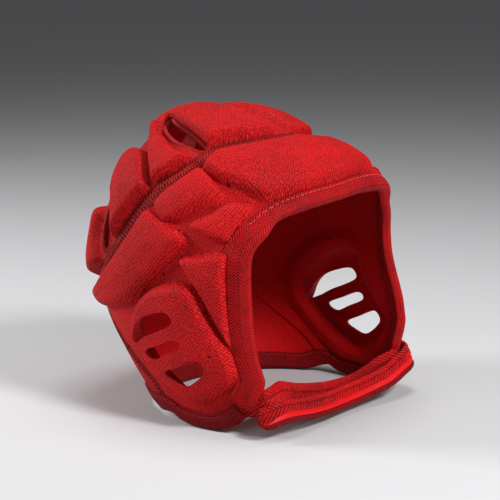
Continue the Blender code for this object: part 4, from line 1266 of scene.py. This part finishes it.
def strap(name, width, thick, rows, materials, middle, bands=(), free_end=False):
    """A flat profile with soft edges along the strap's frame; bands share its outer face.

    Herringbone ribs are a cosine of the length along it plus a slope times the distance
    from the middle line, and the weave is measured from that line, so both run together."""
    centre, wide, flat, stops = strap_frame(rows, RIB_PITCH / STEPS_PER_RIB)
    over = np.linspace(-0.5, 0.5, ACROSS_COUNT)
    swell = np.sqrt(1 - np.abs(2 * over)**6)
    grooves = sum(np.exp(-((over - edge) * width / 0.7)**2) for edge in bands)
    w = np.concatenate([over, over[-2:0:-1]])
    t = np.concatenate([0.5 * swell * thick - BAND_GROOVE * grooves, -0.5 * swell[-2:0:-1] * thick])
    on_front = np.arange(len(w)) < len(over)
    share, closing = np.ones_like(stops), np.ones_like(stops)
    if free_end:
        left = np.clip(stops / FREE_END_ROUND, 0, 1)
        share = np.sqrt(np.maximum(1 - (1 - left)**2, 0.02))
        closing = ease(stops / SATIN_TAPER)
    ripple = sum(size * np.sin(stops / length + start) for size, length, start in RIPPLES)
    scallop = 1 + SCALLOP * np.sin(stops * 2 * np.pi / RIB_PITCH)
    across = w[None] * (width * share * scallop)[:, None]
    height = t[None] * (0.6 + 0.4 * share)[:, None] + (ripple * 0.5)[:, None] * (1 - (2 * w[None])**2)
    phase = stops[:, None] + RIB_SLOPE * np.abs(w - middle)[None] * width
    border = band_border(bands[0], bands, closing) + BAND_MARGIN if bands else -closing
    ribbed = on_front & (w > border[:, None]) & (np.abs(w) < 0.49)
    ridge = MIDDLE_RIDGE * np.exp(-((w - middle) * width / 0.6)**2)
    height = height + ribbed * (-RIB_HEIGHT * np.cos(phase * 2 * np.pi / RIB_PITCH) - ridge)
    sections = centre[:, None] + wide[:, None] * across[..., None] + flat[:, None] * height[..., None]
    points, faces = loft(sections)
    from_middle = across.reshape(-1) - middle * width
    place = np.concatenate([np.stack([np.repeat(stops, len(w)), from_middle], -1),
                            [(stops[0], 0), (stops[-1], 0)]])
    where = np.append(np.tile(w, len(stops)), [0, 0])[faces].mean(1)
    front = np.append(np.tile(on_front, len(stops)), [False, False])[faces].all(1)
    kind = np.zeros(len(faces), int)
    for number, edge in enumerate(bands):
        limit = np.append(np.repeat(band_border(edge, bands, closing), len(w)), [edge, edge])
        kind[(where < limit[faces].mean(1)) & front] = number + 1
    item = piece(name, stand(points), faces, place[faces] * MM, materials, kind)
    return item


print("ribs:", RIB_PITCH, "mm apart and", RIB_HEIGHT, "mm high")

# %% [markdown]
# The cloth of the straps has its lines of painted shade as often as the relief has its valleys,
# and both are measured from the same middle line, so they run together. Then both straps are made.

# %% Both straps
SOFT_RIBS = cloth("soft_ribs", RIBS, 1.0 / (RIB_PITCH * MM),
                  (0.04, 0.0002, 0.001), (0.46, 0.001, 0.003), (0.80, 0.03, 0.03),
                  bump_mm=0.5, roughness=0.6, column=0.05)
inner_strap = strap("chin_strap_inner_ribbed", *INNER_STRAP[:2], TUCKED_LINE, [SOFT_RIBS], middle=0.16)
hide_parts("chin_strap_inner")
# The dark edge band uses the hem's cloth, whose dark red is painted shade.
outer_strap = strap("chin_strap_outer_satin", *OUTER_STRAP, [SOFT_RIBS, SATIN, SHADED_HEM_CLOTH], middle=0.24,
                    bands=(-0.06, -0.28), free_end=True)
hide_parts("chin_strap_outer")

# %% [markdown]
# ## Webbing in the gaps
# Behind each gap a piece of webbing keeps the pads from spreading. It lies against the
# inside of the shell, so its points are places on the form at two depths.

# %% Webbing
# Each strip: its angles and its levels.
CROWN_TAB = ((74.0, 88.0), (0.185, 0.296))
REAR_STRAP = ((121.5, 127.5), (0.425, 0.622))
WEBBING_DEPTH = (-3.6, -2.1)
WEBBING_RIB = 0.18
WEBBING_PITCH = 2.2
SIDES = (("right", -1), ("left", 1))


def webbing(name, angles, levels, sign, node):
    """A strip between two depths, with ribs that run across the gap."""
    angle, level = np.meshgrid(np.linspace(*angles, 14) * sign, np.linspace(*levels, 30), indexing="ij")
    chart = np.stack([np.abs(angle) * DEGREE, level * LEVEL], -1)
    weave = np.stack([chart[..., 1], chart[..., 0] - chart[..., 0].min()], -1) * MM
    rows, faces = surface_rows(shell_point(angle, level), chart, weave)
    ribs = WEBBING_RIB * np.cos(rows[:, CHART][:, 1] * 2 * np.pi / WEBBING_PITCH)
    points, faces, _ = skins(rows, faces, WEBBING_DEPTH[1] + ribs, WEBBING_DEPTH[0] + 0 * ribs)
    item = piece(name, points, faces, np.tile(rows[:, WEAVE], (2, 1)), [WEBBING_CLOTH])
    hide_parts(node)


for side, sign in SIDES:
    webbing("crown_tab_webbing_" + side, *CROWN_TAB, sign, "crown_tab_" + side)
    webbing("rear_strap_webbing_" + side, *REAR_STRAP, sign, "rear_strap_" + side)

# %% [markdown]
# The lining of the front laps under the crown where the two shells are sewn, so no light
# comes through the seam. The lap is a thin strip against the inside, carried along the seam
# and ended above the hem.

# %% Lap inside the seam
LAP_WIDTH = 9.0
LAP_DEPTH = (-2.5, -1.75)
LAP_STEP = 2.0


def seam_lap(name, sign):
    """A strip between two depths, with its width laid on both sides of the seam."""
    path, across, stops = even_path([(-SEAM[1][0], SEAM[1][1])] + SEAM[:-2], LAP_STEP)
    aside = np.linspace(-LAP_WIDTH / 2, LAP_WIDTH / 2, 7)
    places = (path[:, None] + across[:, None] * aside[:, None]) / (DEGREE, LEVEL) * (sign, 1)
    weave = np.stack(np.broadcast_arrays(stops[:, None], aside), -1) * MM
    rows, faces = surface_rows(shell_point(places[..., 0], places[..., 1]), places * (DEGREE, LEVEL), weave)
    flat = np.zeros(len(rows))
    points, faces, _ = skins(rows, faces, LAP_DEPTH[1] + flat, LAP_DEPTH[0] + flat)
    piece(name, points, faces, np.tile(rows[:, WEAVE], (2, 1)), [LINING])


for side, sign in SIDES:
    seam_lap("seam_lap_" + side, sign)

# %% [markdown]
# ## Thread and rims
# Thread is a thin tube along a path of points. All the stitches of one seam are one piece,
# so a long seam stays one object and its stitches have few faces each.

# %% Thread tools


def tube(points, radius, up, sides=6, ring=False):
    """A round tube: each section is the radius times cosine aside plus sine up."""
    step = np.roll(points, -1, 0) - np.roll(points, 1, 0) if ring else np.gradient(points, axis=0)
    step /= np.linalg.norm(step, axis=1, keepdims=True)
    aside = np.cross(step, up)
    aside /= np.maximum(np.linalg.norm(aside, axis=1, keepdims=True), 1e-9)
    above = np.cross(aside, step)
    turn = np.linspace(0, 2 * np.pi, sides, endpoint=False)[None, :, None]
    sections = points[:, None] + radius * (aside[:, None] * np.cos(turn) + above[:, None] * np.sin(turn))
    if not ring:
        return loft(sections)
    count = len(points)
    i, j = (k.reshape(-1) for k in np.meshgrid(np.arange(count), np.arange(sides), indexing="ij"))
    following, beside = (i + 1) % count, (j + 1) % sides
    a, b = i * sides + j, i * sides + beside
    c, d = following * sides + beside, following * sides + j
    return sections.reshape(-1, 3), np.concatenate([np.stack([a, b, c], -1), np.stack([a, c, d], -1)])


def joined(parts):
    """Several meshes as one, with the face numbers of each shifted past those before it."""
    shift = np.cumsum([0] + [len(points) for points, _ in parts[:-1]])
    return (np.concatenate([points for points, _ in parts]),
            np.concatenate([faces + start for (_, faces), start in zip(parts, shift)]))


def thread_piece(name, parts, material):
    """Stitches as one piece; thread is so thin that its weave is its place along x and z."""
    points, faces = joined(parts)
    points = stand(points)
    piece(name, points, faces, points[:, [0, 2]], [material])


def on_shell(chart, sign, height):
    """Points and outward directions at chart places on one side of the form."""
    places = chart / (DEGREE, LEVEL) * (sign, 1)
    base = over_shell(places, np.zeros(len(places)))
    up = over_shell(places, np.ones(len(places))) - base
    return base + up * np.broadcast_to(height, len(places))[:, None], up


print("thread is a tube along a path")

# %% [markdown]
# A wide zigzag joins the two shells along the flange. It is a path that swings between two
# lines beside the seam, and each stitch lifts off the cloth in the middle, where it is not
# held down.

# %% Zigzag on the flange
ZIGZAG_REACH = 2.5
ZIGZAG_PITCH = 2.6
ZIGZAG_ASIDE = 5.2
ZIGZAG_LIFT = 0.28
ZIGZAG_END = 0.965
THREAD_RADIUS = 0.3


def zigzag(sign):
    """Stitches between two lines beside the seam; each rises from the cloth and dips again."""
    path, across, _ = even_path(SEAM[:-1], ZIGZAG_PITCH / 2)
    side = -1 if depth_inside(path[20:21] + across[20:21], FRONT_REGION)[0] > 0 else 1
    turns = np.where(np.arange(len(path)) % 2 == 0, -1, 1)
    ends = path + across * side * (ZIGZAG_ASIDE + ZIGZAG_REACH * turns)[:, None]
    share = np.linspace(0, 1, 5, endpoint=False)
    chart = (ends[:-1, None] * (1 - share)[:, None] + ends[1:, None] * share[:, None]).reshape(-1, 2)
    lift = np.tile(ZIGZAG_LIFT * np.sin(np.pi * share), len(ends) - 1)
    kept = chart[:, 1] < ZIGZAG_END * LEVEL
    points, up = on_shell(chart[kept], sign, HALF_WALL + 0.1 + lift[kept])
    return tube(points, THREAD_RADIUS, up)


thread_piece("flange_zigzag", [zigzag(-1), zigzag(1)], DARK_THREAD)

# %% [markdown]
# Short straight stitches hold the brow's tape from outside, and the hem's band from both
# sides. Each one is a small arch of five points that comes out of the tape and goes back in.

# %% Stitches on the tapes
DASH = 2.3
DASH_GAP = 1.3
DASH_RADIUS = 0.26
DASH_ARCH = 0.3
DASH_SUNK = 0.15
STITCH_ASIDE = 2.0
BROW_STITCH_HEIGHT = 3.05
HEM_STITCH_HEIGHTS = (2.75, -3.05)
POINTS_PER_STITCH = 6


def dashes(rows, width, height):
    """Short stitches in a line beside the free edge, at a height over the form."""
    path, across, _ = even_path(rows, (DASH + DASH_GAP) / POINTS_PER_STITCH)
    aside = width(path[:, 0] / DEGREE) - STITCH_ASIDE
    base, up = on_shell(path + across * cloth_side(path, across) * aside[:, None], 1, 0.0)
    lift = height + DASH_ARCH * np.sin(np.linspace(0, np.pi, 5)) - DASH_SUNK
    picks = [slice(start, start + 5) for start in range(0, len(path) - POINTS_PER_STITCH, POINTS_PER_STITCH)]
    return [tube(base[pick] + up[pick] * lift[:, None], DASH_RADIUS, up[pick], 5) for pick in picks]


brow_rows = mirrored(FREE_EDGE[:BROW_CORNER + 1])
thread_piece("face_tape_stitches", dashes(brow_rows, tape_width, BROW_STITCH_HEIGHT), THREAD)
hem_lines = [dashes(hem_rows, hem_width, height) for height in HEM_STITCH_HEIGHTS]
thread_piece("hem_stitches", hem_lines[0] + hem_lines[1], DARK_THREAD)

# %% [markdown]
# The rims of the gaps are rolled: the cloth turns over a soft core, and an overlock thread
# winds round it so that it can't fray. The roll is a closed tube round the gap's outline,
# and the thread is a helix round that tube.

# %% Rolled rims
ROLL_RADIUS = 1.6
ROLL_INSET = 0.2
ROLL_HEIGHT = 0.5
ROLL_THREAD = 0.24
THREAD_OVER_ROLL = 0.08
OVERLOCK_PITCH = 1.7
HELIX_STEP = 0.18


def even_ring(rows, spacing):
    """Evenly spaced chart places round a smooth outline, with the direction out of it."""
    fine = mm_ring(rows, 16)
    closed = np.concatenate([fine, fine[:1]])
    reach = path_reach(closed)
    stops = np.linspace(0, reach[-1], int(round(reach[-1] / spacing)), endpoint=False)
    ring = np.stack([np.interp(stops, reach, closed[:, k]) for k in (0, 1)], -1)
    along = np.roll(ring, -1, 0) - np.roll(ring, 1, 0)
    along /= np.linalg.norm(along, axis=1, keepdims=True)
    out = np.stack([along[:, 1], -along[:, 0]], -1)
    if depth_inside(ring[:1] + out[:1] * 0.5, fine)[0] > 0:
        out = -out
    return ring, out, stops


def rolled_rim(rows, sign):
    """A soft tube round a gap's edge and the overlock thread that winds round it."""
    ring, out, stops = even_ring(rows, HELIX_STEP)
    centre, up = on_shell(ring - out * ROLL_INSET, sign, ROLL_HEIGHT)
    beside = on_shell(ring + out * 0.8, sign, ROLL_HEIGHT)[0] - centre
    beside /= np.linalg.norm(beside, axis=1, keepdims=True)
    turn = (stops * 2 * np.pi / OVERLOCK_PITCH)[:, None]
    thread = centre + (ROLL_RADIUS + THREAD_OVER_ROLL) * (beside * np.cos(turn) + up * np.sin(turn))
    return tube(centre[::6], ROLL_RADIUS, up[::6], 12, ring=True), tube(thread, ROLL_THREAD, up, 5, ring=True)


rolls, threads = zip(*(rolled_rim(gap, sign) for gap in GAPS for sign in (-1, 1)))
# The rolled rims take the flange's darker knit, which is painted shade.
thread_piece("gap_rims", rolls, SHADED_FLANGE_KNIT)
thread_piece("gap_overlock", threads, DARK_THREAD)

# %% [markdown]
# ## Light and floor
# The photograph has soft studio light: a key in front and above, a low one in front that
# reaches under the brow and the strap, a weak fill at the side of the camera, one behind that
# draws the ridges of the pads, and one above. An area light's soft shadow comes from its
# size, so each light's line gives its place, its size and its power.

# %% Lights
LIGHT_TARGET = (0.0, 0.0, 0.09)
# Columns: name, place, size in metres, power in watts.
LIGHTS = [
    ("key", (-0.05, -1.05, 0.95), 0.28, 18.0),
    ("front", (0.10, -1.40, 0.25), 0.4, 6.0),
    ("fill", (-1.10, -0.10, 0.45), 0.9, 2.0),
    ("edge", (-0.60, 0.95, 0.60), 0.35, 13.0),
    ("top", (0.15, 0.05, 1.10), 0.5, 6.0),
]


def aimed(name, place, size, power):
    """A square area light whose -Z axis points at the target."""
    data = bpy.data.lights.new(name, "AREA")
    data.size = size
    data.energy = power
    item = bpy.data.objects.new(name, data)
    way = mathutils.Vector(LIGHT_TARGET) - mathutils.Vector(place)
    item.rotation_euler = way.to_track_quat("-Z", "Y").to_euler()
    item.location = place
    scene.collection.objects.link(item)
    return item


lights = [aimed(*row) for row in LIGHTS]
print("lights:", [light.name for light in lights])

# %% [markdown]
# The floor is pale and matt, and so wide that its edge is never seen. A weak even sky fills
# the deepest shadows. Colours are shown as they are, with no film look over them.

# %% Floor and sky
FLOOR_HALF = 40.0
FLOOR_COLOUR = (0.50, 0.50, 0.51, 1)
FLOOR_ROUGHNESS = 0.7
SKY_COLOUR = (0.80, 0.81, 0.83, 1)
SKY_STRENGTH = 0.14

floor_mesh = bpy.data.meshes.new("floor")
corners = [(-1, -1), (1, -1), (1, 1), (-1, 1)]
floor_mesh.from_pydata([(x * FLOOR_HALF, y * FLOOR_HALF, 0) for x, y in corners], [], [(0, 1, 2, 3)])
floor = bpy.data.objects.new("floor", floor_mesh)
pale = bpy.data.materials.new("pale_floor")
pale.use_nodes = True
pale_inputs = pale.node_tree.nodes["Principled BSDF"].inputs
pale_inputs["Base Color"].default_value = FLOOR_COLOUR
pale_inputs["Roughness"].default_value = FLOOR_ROUGHNESS
floor_mesh.materials.append(pale)
scene.collection.objects.link(floor)

world = bpy.data.worlds.new("studio")
scene.world = world
world.use_nodes = True
sky_inputs = world.node_tree.nodes["Background"].inputs
sky_inputs["Color"].default_value = SKY_COLOUR
sky_inputs["Strength"].default_value = SKY_STRENGTH
scene.view_settings.view_transform = "Standard"
print("floor:", 2 * FLOOR_HALF, "m wide")
